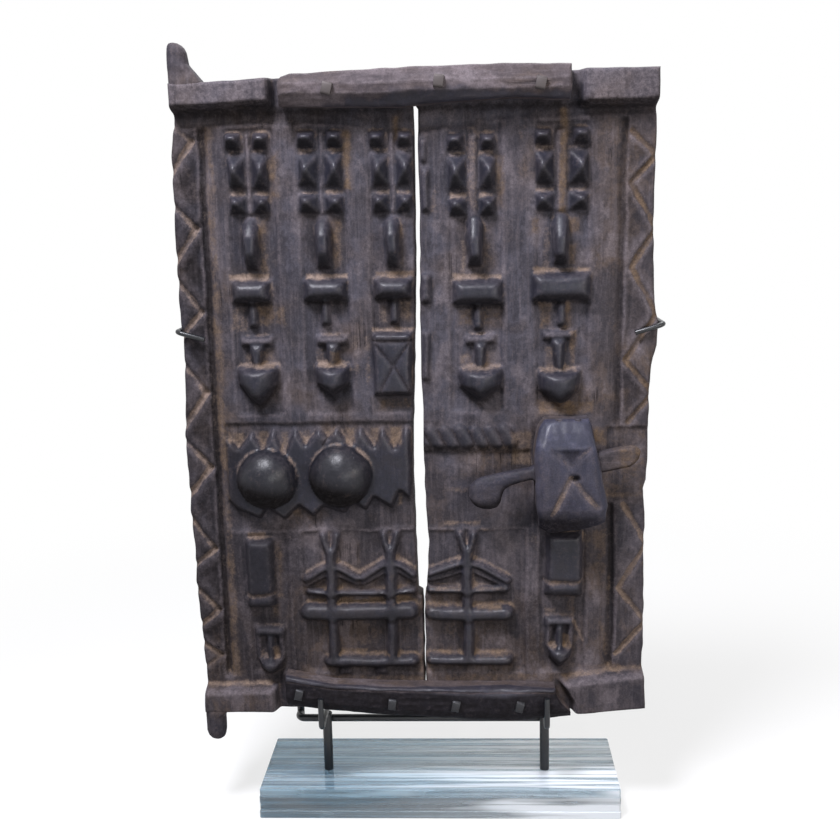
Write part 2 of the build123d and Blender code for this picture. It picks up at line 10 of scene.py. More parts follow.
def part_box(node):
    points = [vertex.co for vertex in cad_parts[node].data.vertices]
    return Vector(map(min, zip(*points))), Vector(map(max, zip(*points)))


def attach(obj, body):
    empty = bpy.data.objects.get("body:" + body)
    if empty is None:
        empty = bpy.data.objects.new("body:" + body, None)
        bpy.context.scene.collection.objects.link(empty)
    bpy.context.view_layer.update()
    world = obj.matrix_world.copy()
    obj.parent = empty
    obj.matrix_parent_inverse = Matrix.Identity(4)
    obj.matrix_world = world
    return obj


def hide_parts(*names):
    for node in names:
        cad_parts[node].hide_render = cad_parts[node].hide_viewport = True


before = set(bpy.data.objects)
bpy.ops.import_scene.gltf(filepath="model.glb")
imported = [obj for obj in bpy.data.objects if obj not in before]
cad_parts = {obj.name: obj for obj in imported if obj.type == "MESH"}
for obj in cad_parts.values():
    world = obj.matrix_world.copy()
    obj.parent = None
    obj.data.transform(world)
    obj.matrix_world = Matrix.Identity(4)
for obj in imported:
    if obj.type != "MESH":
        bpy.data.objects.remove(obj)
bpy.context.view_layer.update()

bl_info = {
    "name": "Carved granary door",
    "version": (1, 0, 0),
    "blender": (4, 5, 0),
    "location": "3D View > Sidebar > Granary",
    "description": "Builds a carved two-plank granary shutter with its slide lock and stand",
    "category": "Object",
}

# The door is drawn in its own frame, in mm: x = 0 on its middle, y = 0 on the front of the
# planks (carving stands towards -y), z = 0 at the foot of the planks.
DOOR_PLACE = np.array((-13.0, -28.0, 107.0))
PLANK_T = 34.0
FIELD = 3.0                     # depth of the sunken field between the motifs
ROOT = 1.0                      # how far the sides of a motif reach below the field
BOLT_SLOPE = radians(11.3)
BOLT_ORIGIN = (148.0, 267.6)
BOLT_Y = (-14.0, -30.0)         # the bolt's back and front
BOLT_MID_Y = (BOLT_Y[0] + BOLT_Y[1]) / 2
POST_X, UPRIGHT_X = (-108, 126), (-140, 126)
POST_Y, BAR_Y, UPRIGHT_Y = 16, 25, 40
BAR_Z, CLIP_Z = -20, 407
STAND = "door_on_stand"
LATTICE = 97                    # random values along each side of a noise lattice
LATTICE_START = 500             # keeps the places on the lattice positive
BACK_STEP = 3                   # the back of a board is this much coarser than its front
WALL_ROWS = 4                   # rows of faces on the sides of a board
CASE_PITCH = 1.1                # the lock case is carved a little finer than the planks


def srgb(red, green, blue):
    """A colour given in 0 to 255 steps, as the linear colour that shaders take."""
    shares = [c / 255 for c in (red, green, blue)]
    return tuple(s / 12.92 if s <= 0.04045 else ((s + 0.055) / 1.055) ** 2.4 for s in shares)


def tint(name, description, red, green, blue):
    return FloatVectorProperty(name=name, description=description, subtype="COLOR", size=3,
                               min=0.0, max=1.0, default=srgb(red, green, blue))


def millimetres(name, description, value):
    return FloatProperty(name=name, description=description, default=value / 1000, min=0.0,
                         subtype="DISTANCE", unit="LENGTH")


# ---------------------------------------------------------------- settings
class GranaryCarvingSettings(bpy.types.PropertyGroup):
    """How finely and how roughly the wood is carved."""

    pitch: millimetres("Carving pitch", "Distance between the points of the carved faces", 1.4)
    wobble: millimetres("Hand wobble", "How far the carved outlines stray from straight", 0.9)
    tool_marks: millimetres("Tool marks", "Height of the knife and adze marks", 0.45)
    edge_round: millimetres("Edge rounding", "Radius of the worn edges of the planks", 3.2)
    moat: millimetres("Moat", "Extra depth cut round each raised motif", 0.5)
    seed: IntProperty(name="Seed", description="Seed of all hand-made irregularity", default=7)


class GranaryFinishSettings(bpy.types.PropertyGroup):
    """Colours of the woods, the dust and painted light, the painted shade, the iron, the paint and
    the glass.
    """

    field: tint("Field wood", "Dry wood between the motifs", 74, 72, 80)
    brown: tint("Brown wood", "Warmer patches of the dry wood", 84, 73, 68)
    motif: tint("Handled wood", "Dark wood of the raised motifs, polished by hands", 26, 27, 37)
    # colour of the painted shade in the hollows, under the motifs and on their shaded sides
    soot: tint("Soot", "Smoke and grime in the deep hollows", 26, 23, 22)
    # colour of the dust, and of the painted light on lit ledges and edges
    dust: tint("Dust", "Pale dust on the ledges", 128, 112, 102)
    gold: tint("Clay", "Brown clay dust in the hollows", 98, 80, 60)
    # colour of worn bare wood, also laid as painted light on the upper rails
    worn_and_lit: tint("Worn edges", "Wood laid bare on the edges", 112, 104, 108)
    batten: tint("Batten wood", "Worn wood of the two battens", 96, 88, 92)
    iron: tint("Forged iron", "Staples and nails", 186, 188, 200)
    paint: tint("Stand paint", "Satin black paint of the rods", 20, 22, 26)
    glass: tint("Glass", "Tint of the base plates", 240, 248, 252)
    floor: tint("Floor", "Pale floor under the stand", 140, 140, 140)


class GranaryStandSettings(bpy.types.PropertyGroup):
    """Sizes of the display stand that only the looks depend on."""

    bend: millimetres("Rod bend", "Inner radius of the bends of the thin rods", 5.0)
    rod_edge: millimetres("Rod end bevel", "Bevel on the cut ends of the rods", 0.5)
    glass_edge: millimetres("Glass edge bevel", "Polished bevel on the plates", 0.5)
    weld: millimetres("Weld bead", "Radius of the beads of the welds", 1.0)


# ---------------------------------------------------------------- irregularity and lines
def hand_noise(x, z, size_x, size_z, seed):
    """Smooth irregularity from -1 to 1 over points in mm, with patches of the given sizes."""
    lattice = np.random.RandomState(seed).uniform(-1, 1, (LATTICE, LATTICE))
    u, v = x / size_x + LATTICE_START, z / size_z + LATTICE_START
    i, j = np.floor(u).astype(int), np.floor(v).astype(int)
    f, g = u - i, v - j
    f, g = f * f * (3 - 2 * f), g * g * (3 - 2 * g)
    i0, i1, j0, j1 = i % LATTICE, (i + 1) % LATTICE, j % LATTICE, (j + 1) % LATTICE
    near = lattice[i0, j0] * (1 - g) + lattice[i0, j1] * g
    far = lattice[i1, j0] * (1 - g) + lattice[i1, j1] * g
    return near * (1 - f) + far * f


def spread(values, steps):
    """Blur a grid a little, that many times."""
    for _ in range(steps):
        values = np.pad(values, 1, mode="edge")
        values = (values[:-2] + 2 * values[1:-1] + values[2:]) / 4
        values = (values[:, :-2] + 2 * values[:, 1:-1] + values[:, 2:]) / 4
    return values


def ease(values, low, high):
    """0 below low, 1 above high and a smooth step between."""
    share = np.clip((values - low) / (high - low), 0, 1)
    return share * share * (3 - 2 * share)


def x_at(line, z):
    """The x of a line of (x, z) points at a height."""
    xs, zs = zip(*line)
    return np.interp(z, zs, xs)


def z_at(line, x):
    """The z of a line of (x, z) points at an x."""
    xs, zs = zip(*line)
    return np.interp(x, xs, zs)


def squared(turn, power):
    """A sine or cosine bent so that a circle becomes a rounded square."""
    return np.sign(turn) * np.abs(turn) ** (2 / power)


def turns(count):
    """The angles of the corners of a ring."""
    return np.linspace(0, 2 * pi, count, endpoint=False)


def box_depth(x, z, x0, x1, z0, z1):
    """How far points lie inside four sides, negative outside."""
    return np.minimum(np.minimum(x - x0, x1 - x), np.minimum(z - z0, z1 - z))


def repeat(act, rows, *rest, **finish):
    """Call act once for each row of arguments."""
    for row in rows:
        act(*row, *rest, **finish)


# ---------------------------------------------------------------- carving
def rect(x0, x1, z0, z1):
    return [(x0, z0), (x1, z0), (x1, z1), (x0, z1)]


class Relief:
    """A carved face: the height in mm of each grid point towards the viewer, and its finish, whose
    layers hold dust with painted light and painted shade.
    """

    def __init__(self, x, z, pitch, settings):
        self.true_x, self.true_z, self.pitch, self.seed = x, z, pitch, settings.seed
        wobble = settings.wobble * 1000
        self.x = x + wobble * (self.noise(24, 30, 0) + 0.4 * self.noise(7, 8, 1))
        self.z = z + wobble * (self.noise(26, 22, 2) + 0.4 * self.noise(8, 7, 3))
        self.ragged = self.noise(13, 17, 12) + 0.6 * self.noise(5, 6, 13)
        for layer in ("height", "polish", "dust", "soot", "warm"):
            setattr(self, layer, np.zeros_like(x))

    def noise(self, size_x, size_z, draw):
        return hand_noise(self.true_x, self.true_z, size_x, size_z, self.seed + draw)

    def blurred(self, values, size):
        return spread(values, int(2 * (size / self.pitch) ** 2))

    def deepen(self, layer, where, amount):
        """Raise a finish layer to an amount where it is less."""
        values = getattr(self, layer)
        values[where] = np.maximum(values[where], amount)

    def around(self, outline, margin):
        xs, zs = zip(*outline)
        return ((self.x > min(xs) - margin) & (self.x < max(xs) + margin)
                & (self.z > min(zs) - margin) & (self.z < max(zs) + margin))

    def lift(self, where, share, proud, blend=1.2, polish=0.8, low=-FIELD - ROOT):
        """Raise a motif whose share is 0 at its foot and 1 on its crown."""
        raised = low + (proud - low) * np.minimum(share, 1)
        old = self.height[where]
        gap = np.maximum(blend - np.abs(old - raised), 0)
        self.height[where] = np.maximum(old, raised) + gap * gap / (4 * blend)
        self.deepen("polish", where, polish * np.clip(share * 6 - 0.6, 0, 1))

    def frustum(self, back, front, proud, belly=0.0, **finish):
        """Raise sides between a foot outline and a crown outline, flat or with a belly."""
        where = self.around(back, 3)
        x, z = self.x[where], self.z[where]
        area = sum(a[0] * b[1] - b[0] * a[1] for a, b in zip(back, back[1:] + back[:1]))
        turn = 1 if area > 0 else -1
        share = np.full(x.shape, 9.0)
        for k in range(len(back)):
            (ax, az), (bx, bz) = back[k - 1], back[k]
            (cx, cz), (dx, dz) = front[k - 1], front[k]
            length = np.hypot(bx - ax, bz - az)
            nx, nz = -turn * (bz - az) / length, turn * (bx - ax) / length
            reach = ((cx - ax) * nx + (cz - az) * nz + (dx - ax) * nx + (dz - az) * nz) / 2
            share = np.minimum(share, ((x - ax) * nx + (z - az) * nz) / max(reach, 0.4))
        if belly:
            full = np.clip(share, 0, 1)
            rounded = belly * np.sqrt(1 - (1 - full) ** 2) + (1 - belly) * full
            share = np.where(share > 0, rounded, share)
        self.lift(where, share, proud, **finish)

    def stud(self, x0, x1, z0, z1, proud, draft=2.5, **finish):
        front = rect(x0 + draft, x1 - draft, z0 + draft, z1 - draft)
        self.frustum(rect(x0, x1, z0, z1), front, proud, **finish)

    def boss(self, outline, centre, keep, proud, **finish):
        (cx, cz), (keep_x, keep_z) = centre, keep
        front = [(cx + keep_x * (x - cx), cz + keep_z * (z - cz)) for x, z in outline]
        self.frustum(outline, front, proud, **finish)

    def away(self, points, where):
        """Distance of the chosen grid points from a line of points."""
        x, z = self.x[where], self.z[where]
        nearest = np.full(x.shape, 1e9)
        for (ax, az), (bx, bz) in zip(points, points[1:]):
            ex, ez = bx - ax, bz - az
            along = np.clip(((x - ax) * ex + (z - az) * ez) / (ex * ex + ez * ez), 0, 1)
            nearest = np.minimum(nearest, np.hypot(x - ax - along * ex, z - az - along * ez))
        return nearest

    def ridge(self, points, half, proud, square=2.0, **finish):
        """A strand along a line of points, round or squarer in section."""
        where = self.around(points, half + 2)
        across = self.away(points, where) / half
        rounded = np.maximum(1 - across ** square, 0) ** (1 / square)
        share = np.where(across < 1, rounded, 1 - across)
        self.lift(where, share, proud, **finish)

    def dome(self, cx, cz, radius, proud):
        where = self.around([(cx - radius, cz - radius), (cx + radius, cz + radius)], 3)
        q = np.hypot(self.x[where] - cx, self.z[where] - cz) / radius
        share = np.where(q < 1, np.sqrt(np.maximum(1 - q ** 2, 0)) ** 0.92, (1 - q) * 4)
        self.lift(where, share, proud, blend=2.5, polish=1.2)
        # painted shade over the lower left of the dome
        low = (cz - self.z[where]) / radius + 0.3 * (cx - self.x[where]) / radius
        self.deepen("soot", where, 0.95 * ease(low, -0.1, 0.5) * (q < 1))

    def inside(self, outline, where):
        """Depth of the chosen grid points inside an outline of any shape, negative outside."""
        x, z = self.x[where], self.z[where]
        within = np.zeros(x.shape, bool)
        for (ax, az), (bx, bz) in zip(outline, outline[1:] + outline[:1]):
            if az != bz:
                crosses = (az > z) != (bz > z)
                within ^= crosses & (x < (bx - ax) * (z - az) / (bz - az) + ax)
        far = self.away(outline + outline[:1], where)
        return np.where(within, far, -far)

    def slab(self, outline, proud, draft, **finish):
        where = self.around(outline, 3)
        self.lift(where, self.inside(outline, where) / draft, proud, **finish)

    def sink(self, x0, x1, z0, z1, depth, soft=1.6):
        """Lower a panel between four sides."""
        inside = box_depth(self.x, self.z, x0, x1, z0, z1)
        self.height -= depth * ease(inside, -soft / 2, soft)

    def sink_shape(self, outline, depth, soft, soot=0.0):
        """Lower a panel of any outline, darkened with painted shade where asked."""
        where = self.around(outline, soft + 1)
        share = ease(self.inside(outline, where), -soft / 2, soft)
        self.height[where] -= depth * share
        self.deepen("soot", where, soot * share)

    def vee(self, points, width, depth, dust=0.5, soot=0.0):
        """Cut a V groove along a line of points, with dust and painted light on its walls and
        painted shade in its bottom.
        """
        half = width / 2
        where = self.around(points, half + 1)
        across = self.away(points, where) / half
        uneven = 1 + 0.25 * hand_noise(self.x[where], self.z[where], 11, 11, self.seed + 9)
        cut = np.clip(1 - across / uneven, 0, 1)
        self.height[where] -= depth * cut
        self.deepen("dust", where, dust * ease(cut, 0.0, 0.45))
        self.deepen("soot", where, soot * ease(cut, 0.2, 0.8))
        self.polish[where] *= 1 - 0.7 * ease(cut, 0.0, 0.5)

    def lay(self, layer, inside, amount, soft):
        share = ease(inside + 0.35 * soft * self.ragged, -soft, soft)
        self.deepen(layer, ..., amount * share)

    def paint(self, layer, x0, x1, z0, z1, amount, soft=2.5):
        """Add dust with painted light, painted shade or warmth over a soft-edged patch."""
        self.lay(layer, box_depth(self.true_x, self.true_z, x0, x1, z0, z1), amount, soft)

    def streak(self, layer, points, width, amount, soft=2.0):
        """Add dust with painted light, painted shade or warmth along a line of points."""
        self.lay(layer, width / 2 - self.away(points, ...), amount, soft)

    def soften(self, steps):
        """Blunt the carving all over, as long handling does."""
        self.height, self.polish = spread(self.height, steps), spread(self.polish, steps)

    def tool_marks(self, size):
        """Shallow facets left by the blade, longer along the grain."""
        facets = np.abs(self.noise(9, 21, 20)) + 0.6 * np.abs(self.noise(5, 11, 21))
        fine = self.noise(2.2, 9, 22)
        self.height += size * (0.9 - facets + 0.2 * fine) * (1 - 0.55 * self.polish)

    def cut_moat(self, depth):
        """Deepen the field close to what stands over it."""
        near = self.blurred(self.polish, 5)
        self.height -= depth * np.clip(near * 2.2, 0, 1) * (1 - self.polish)

    def wear(self):
        """Blunt the proud edges, and find where dust lies, with painted light on the ledges, and
        where painted shade darkens the hollows and the down-facing faces.
        """
        narrow = spread(self.height, int(2 * (1.3 / self.pitch) ** 2) + 1)
        proud = np.maximum(self.height - narrow, 0)
        self.height -= 0.75 * proud
        wide = self.blurred(self.height, 3.4)
        broad = self.blurred(wide, 8)
        cavity = np.clip((wide - self.height - 0.2) / 1.8, 0, 1)
        slope_z, slope_x = np.gradient(wide, self.pitch)
        ledge = np.clip(-slope_z * 2.0, 0, 1)
        under = np.clip(slope_z * 2.0, 0, 1)
        right = np.clip(-slope_x * 1.6, 0, 1)
        # dust on the ledges, with more on right-hand flanks and less under overhangs as painted
        # light and shade
        hold = np.clip(0.62 * ledge + 0.22 * right - 0.4 * under, 0, 1)
        self.dust = np.clip(np.maximum(self.dust, cavity * hold), 0, 1)
        # painted shade on down-facing faces and in deep hollows, where shadow falls
        faces_down = ease(np.gradient(self.height, self.pitch, axis=0), 0.15, 1.1)
        pit = np.clip((broad - self.height - 1.0) / 8.0, 0, 1)
        shade_mask = np.maximum(0.7 * faces_down, 0.8 * pit * (1 - 0.75 * ledge))
        self.soot = np.clip(np.maximum(self.soot, shade_mask) * (1 - 0.8 * self.dust), 0, 1)
        return np.clip(proud / 0.35, 0, 1)


# ---------------------------------------------------------------- motifs of the columns
# left and inner left, inner right and right edge, and top of each pair of wings in row one
ROW_ONE = ((-183, -164, -161, -142, 598), (-114, -92, -90, -69, 598), (-43, -23, -20, -3, 597),
           (32, 52, 60, 78, 592), (115, 137, 147, 168, 596))
BEAKS = (-162, -91, -23, 57, 141)


def carve_wing(relief, inner, outer, high):
    """A wedge, a tall pyramid and a half pyramid, each proudest near the outer edge."""
    x0, x1 = min(inner, outer), max(inner, outer)
    near, crest = outer + 0.8 * (inner - outer), outer + 0.34 * (inner - outer)
    foot = rect(min(near, outer), max(near, outer), high - 16, high + 1)
    relief.frustum(foot, rect(crest - 5, crest + 5, high - 6, high - 3), 10)
    relief.frustum(rect(x0, x1, high - 54, high - 18),
                   rect(crest - 1, crest + 1, high - 36, high - 33), 13)
    relief.frustum(rect(x0, x1, high - 78, high - 58),
                   rect(crest - 2, crest + 2, high - 67, high - 63), 10)
    # dust with painted light on the ledges above the pyramid and the half pyramid
    relief.paint("dust", x0 + 2, x1 - 2, high - 18.5, high - 15, 0.42, 2)
    relief.paint("dust", x0 + 2, x1 - 2, high - 59, high - 55, 0.62, 2)


def carve_row_one(relief, left, left_inner, right_inner, right, high):
    relief.stud(left_inner - 0.5, right_inner + 0.5, high - 78, high, 1.6, 1, polish=0.15)
    carve_wing(relief, left_inner, left, high)
    carve_wing(relief, right_inner, right, high)


def carve_beak(relief, x, lift=0):
    """A long narrow wedge like a bird's bill, proudest near its top."""
    back = [(x - 6, 466), (x + 7, 466), (x + 8, 490), (x + 8, 510), (x + 4, 518), (x - 4, 518),
            (x - 9, 510), (x - 8, 490)]
    front = [(x - 4, 484), (x + 4, 484), (x + 6, 489), (x + 6, 496), (x + 3, 500), (x - 3, 500),
             (x - 7, 496), (x - 6, 489)]
    relief.frustum(back, [(a, b + lift) for a, b in front], 14, belly=0.3)


def carve_bar(relief, x0, x1, z0, z1):
    mid = (x0 + x1) / 2
    relief.stud(mid - 4.5, mid + 4.5, z0 - 25, z0 + 3, 4, 2, belly=0.6, polish=0.8)
    relief.stud(x0, x1, z0, z1, 11.5, 9, belly=0.85)
    # painted shadow under the bar
    relief.paint("soot", x0 + 1, x1 - 1, z0 - 5, z0 + 1, 0.9, 2.5)


def carve_arch_and_heart(relief, x, top, half, shoulder, tip):
    heart = [(x - half, shoulder), (x + half, shoulder), (x + half + 0.5, shoulder - 7),
             (x + half - 1.5, shoulder - 19), (x + half / 2, tip + 8), (x, tip),
             (x - half / 2, tip + 8), (x - half + 1.5, shoulder - 19),
             (x - half - 0.5, shoulder - 7)]
    stem = [(x - 4, shoulder - 4), (x + 4, shoulder - 4), (x + 8, top - 7), (x - 8, top - 7)]
    relief.stud(x - 16, x + 16, top - 9, top + 1, 4, 3.5, belly=0.6, polish=0.45)
    relief.boss(stem, (x, (top + shoulder) / 2), (0.45, 0.7), 7, belly=0.4, polish=0.85)
    relief.boss(heart, (x, shoulder - 13), (0.22, 0.42), 18, belly=0.72)
    # dust with painted light on the ledge over the heart
    relief.paint("dust", x - half + 3, x + half - 3, shoulder - 1.5, shoulder + 3, 0.72, 2)
    # painted shade under the heart's point
    point = [(x - half + 2, shoulder - 22), (x, tip - 3), (x + half - 2, shoulder - 22)]
    relief.streak("soot", point, 6, 0.8, 3)


def carve_anchor(relief, x, top, bowl, tip):
    half = 14
    cup = [(x - half, bowl + 6), (x + half, bowl + 6), (x + half - 3, bowl - 6), (x, tip),
           (x - half + 3, bowl - 6)]
    for side in (-1, 1):
        foot = [(x + 10 * side, bowl + 4), (x + 15 * side, bowl + 4), (x + 15 * side, top - 3),
                (x + 9 * side, top - 3)]
        foot = foot[::side]
        relief.frustum(foot, [(a - 1.5 * side, b) for a, b in foot], 3.5, polish=0.45)
    relief.stud(x - 16, x + 16, top - 9, top + 1, 5, 3.5, belly=0.6, polish=0.7)
    relief.stud(x - 4, x + 4, bowl + 2, top - 8, 5, 2, belly=0.5, polish=0.9)
    relief.boss(cup, (x, bowl), (0.3, 0.4), 13, belly=0.6)


def carve_figure(relief, x, foot, head):
    """A standing figure whose trunk forks into two horns."""
    relief.stud(x - 6, x + 6, foot, head - 12, 8, 3, belly=0.5, polish=0.8)
    for side in (-1, 1):
        horn = [(x + side, head - 22), (x + 5 * side, head - 9), (x + 7 * side, head)]
        relief.ridge(horn, 4, 6.5, square=2.6, polish=0.8)
    # dust with a painted highlight on the top of the head
    relief.paint("dust", x - 3, x + 3, head - 8, head + 2, 0.35)


def carve_arms(relief, x, shoulder, hands):
    """Two arms that slope down from a figure's shoulder, each over a thinner fold."""
    for hand_x, hand_z in hands:
        side = 1 if hand_x > x else -1
        elbow = (x + 0.45 * (hand_x - x), shoulder - 0.38 * (shoulder - hand_z))
        relief.ridge([(x, shoulder), elbow, (hand_x, hand_z)], 4, 6.5, square=2.5, polish=0.7)
        relief.ridge([(x + 4 * side, shoulder - 10), (hand_x, hand_z - 7)], 3, 3, polish=0.5)
        # dust with painted light along the top of each arm
        relief.streak("dust", [(x + 9 * side, shoulder + 1), (hand_x, hand_z + 6)], 2.5, 0.25)


def carve_belts(relief, bands):
    """The sagging bands, thick and thin, that cross the figures."""
    for x0, x1, z0, z1, proud, sag in bands:
        mid, half = (z0 + z1) / 2, (z1 - z0) / 2
        tuck = {0: half * 0.6, 6: -half * 0.6}
        steps = [(x0 + (x1 - x0) * k / 6 + tuck.get(k, 0), mid - sag * (1 - ((k - 3) / 3) ** 2))
                 for k in range(7)]
        relief.ridge(steps, half, proud, square=2.7, polish=0.9)
        # painted shadow under each band
        relief.paint("soot", x0, x1, z0 - 4, z0 + 1, 0.75)


def edge_step(relief, line, side, depth, reach, dust, soot):
    """A deep cut beside a border whose inner wall climbs slowly to the field, with painted shadow
    in the cut and dust with painted light on the climbing wall.
    """
    low, high = line[0][1], line[-1][1]
    ends = ease(relief.z, low - 3, low + 3) * (1 - ease(relief.z, high - 3, high + 3))
    away = (relief.x - x_at(line, relief.z)) * side
    relief.height -= depth * ends * np.interp(away, [-2, 0, 3.5, 9, reach], [0, 1, 0.9, 0.3, 0])
    relief.deepen("soot", ..., soot * ends * np.interp(away, [-3, -0.5, 3.5, 6], [0, 1, 0.9, 0]))
    lit = np.interp(away, [3, 6, 12, 16], [0, 1, 0.8, 0]) * ends
    relief.deepen("dust", ..., dust * lit * (0.8 + 0.2 * relief.ragged))
    relief.deepen("warm", ..., np.interp(away, [0, 3, 14, 26], [0, 1, 0.7, 0]) * ends)


def carve_panel(relief, box, proud, groove, dust, shade):
    """A raised panel with a groove across it and painted shadow at its foot."""
    relief.stud(*box, proud, 4.5, belly=0.8)
    relief.vee(groove, 6, 4, dust=dust, soot=0.2)
    relief.paint("soot", *shade, 0.6, 4)


def lay_patches(relief, patches):
    """Dust and painted highlights, with or without a warm tone, in boxes: x0, x1, z0, z1, amount of
    dust and painted light, warmth.
    """
    for x0, x1, z0, z1, dust, warmth in patches:
        relief.paint("dust", x0, x1, z0, z1, dust)
        if warmth:
            relief.paint("warm", x0 - 2, x1 + 2, z0 - 2, z1 + 2, warmth, 4)


# ---------------------------------------------------------------- the two carved faces
TEETH_LOW = [(-200, 232), (-190, 222), (-165, 212), (-157, 224), (-141, 210), (-126, 226),
             (-111, 213), (-100, 224), (-79, 217), (-70, 228), (-57, 219), (-48, 233),
             (-30, 222), (-22, 240), (-9, 229)]
TEETH_HIGH = [(-200, 300), (-185, 289), (-172, 305), (-161, 289), (-149, 309), (-139, 283),
              (-128, 310), (-117, 291), (-103, 308), (-93, 298), (-84, 308), (-71, 290),
              (-60, 308), (-46, 289), (-38, 309), (-26, 287), (-14, 311), (-9, 300)]
# pale dust in the hollows and on the ledges, and painted highlights on lit edges and ledges
LEFT_DUST_AND_LIGHT = (
    (-187, -147, 457, 463, 0.8, 0), (-110, -68, 457, 462, 0.85, 0), (-41, -3, 458, 463, 0.7, 0.5),
    (-154, -147, 464, 516, 0.42, 0.9), (-83, -74, 466, 514, 0.5, 0.9),
    (-16, -11, 466, 506, 0.3, 0.8), (-142, -134, 538, 578, 0.4, 1), (-69, -62, 544, 600, 0.6, 1),
    (-20, -14, 588, 612, 0.5, 1), (-159, -132, 412, 431, 0.42, 0.9),
    (-187, -170, 406, 430, 0.38, 0.2), (-19, -6, 412, 434, 0.42, 0.5),
    (-38, -30, 412, 430, 0.35, 0), (-158, -145, 373, 387, 0.5, 0.6),
    (-176, -167, 372, 384, 0.35, 0), (-103, -95, 373, 388, 0.3, 0),
    (-88, -79, 373, 386, 0.55, 0.8), (-46, -4, 404, 408, 0.75, 0), (-53, -48, 342, 400, 0.35, 0),
    (-40, -8, 326, 336, 0.3, 1), (-66, -60, 345, 400, 0.3, 0.4), (-197, -180, 292, 303, 0.6, 0.5),
    (-165, -156, 290, 303, 0.62, 0.6), (-143, -134, 286, 303, 0.6, 0.5),
    (-120, -112, 292, 304, 0.4, 0.2), (-96, -86, 300, 308, 0.4, 0.4),
    (-76, -66, 293, 307, 0.6, 0.5), (-50, -42, 292, 306, 0.62, 0.5),
    (-31, -19, 290, 308, 0.68, 0.6), (-24, -19, 225, 238, 0.45, 0.4),
    (-134, -124, 214, 222, 0.35, 1), (-181, -162, 192, 197, 0.75, 0.2),
    (-153, -147, 126, 188, 0.34, 1), (-175, -169, 60, 70, 0.62, 0),
    (-160, -153, 61, 73, 0.55, 0.9), (-88, -74, 121.5, 126, 0.7, 0.3),
    (-58, -42, 121, 126, 0.7, 0.3), (-28, -13, 122.5, 128, 0.7, 0.3),
    (-84, -60, 64, 69, 0.62, 0.2), (-54, -36, 63, 67, 0.5, 0), (-24, -14, 68, 72, 0.45, 0),
    (-104, -100.5, 60, 94, 0.42, 0), (-107, -101, 166, 177, 0.42, 0.2),
    (-88, -72, 136, 141, 0.4, 0), (-56, -44, 136, 141, 0.38, 0), (-28, -14, 139, 145, 0.42, 0.6),
    (-34, -28, 144, 156, 0.3, 1), (-160, -152, 104, 118, 0.3, 1), (-146, -2, 33, 40, 0.45, 0.5),
    (-6, 0, 40, 122, 0.4, 0.6), (-84, -50, 72, 100, 0.14, 1), (-250, -136, 603.5, 606.5, 0.25, 0),
    (-134, -131, 545, 600, 0.25, 0),
)
RIGHT_DUST_AND_LIGHT = (
    (36, 84, 454, 459, 0.78, 0), (115, 170, 459.5, 464, 0.8, 0.3), (51, 60, 520, 600, 0.34, 0.3),
    (79, 87, 522, 572, 0.42, 1), (15, 20, 520, 545, 0.3, 0.4), (44, 48, 462, 492, 0.5, 0),
    (66, 75, 466, 506, 0.22, 0.8), (124, 131, 464, 506, 0.42, 0.2),
    (149, 156, 466, 486, 0.55, 0.9), (112, 122, 497, 512, 0.4, 0.9),
    (150, 160, 497, 512, 0.4, 0.9), (41, 53, 410, 424, 0.42, 0.9), (62, 84, 406, 426, 0.28, 1),
    (119, 133, 404, 430, 0.42, 0.9), (145, 153, 404, 430, 0.5, 0.9),
    (150, 157, 366, 402, 0.58, 0.6), (41, 54, 368, 380, 0.45, 0.3), (66, 78, 368, 384, 0.45, 0.4),
    (126, 134, 364, 386, 0.45, 0.4), (92, 112, 266, 301, 0.6, 0.5), (120, 174, 318, 331, 0.62, 1),
    (50, 98, 264, 287, 0.22, 0.8), (174, 189, 284, 306, 0.5, 1), (26, 48, 238, 243, 0.42, 0),
    (22, 60, 203, 207.5, 0.5, 0), (22, 76, 196, 199, 0.4, 0), (165, 189, 132, 198, 0.3, 0.6),
    (128, 136, 71, 77, 0.6, 0.2), (144, 152, 71, 85, 0.62, 1), (126, 137, 104, 112, 0.4, 0.2),
    (142, 157, 103, 107.5, 0.55, 0.8), (4, 38, 117, 121, 0.68, 0.2),
    (55, 80, 114, 118.5, 0.66, 0.2), (6, 40, 134.5, 138, 0.5, 0), (54, 84, 134, 138, 0.5, 0),
    (9, 42, 63, 67.5, 0.55, 0), (58, 88, 62.5, 67, 0.55, 0.2), (33, 40, 172, 192, 0.34, 0.2),
    (49, 55, 170, 190, 0.28, 0.4), (50, 54, 136, 158, 0.4, 0), (1, 9, 36, 122, 0.32, 0.5),
    (148, 158, 108, 128, 0.35, 1), (0, 150, 33, 42, 0.34, 0.9), (150, 232, 46, 52, 0.4, 0.7),
    (10, 34, 74, 100, 0.16, 0.7), (104, 118, 168, 196, 0.28, 0.1), (181, 226, 236, 300, 0.28, 0.6),
    (184, 228, 230, 237, 0.42, 0.2), (152, 172, 330, 350, 0.3, 0.9),
    (100, 112, 545, 600, 0.16, 0.3),
)


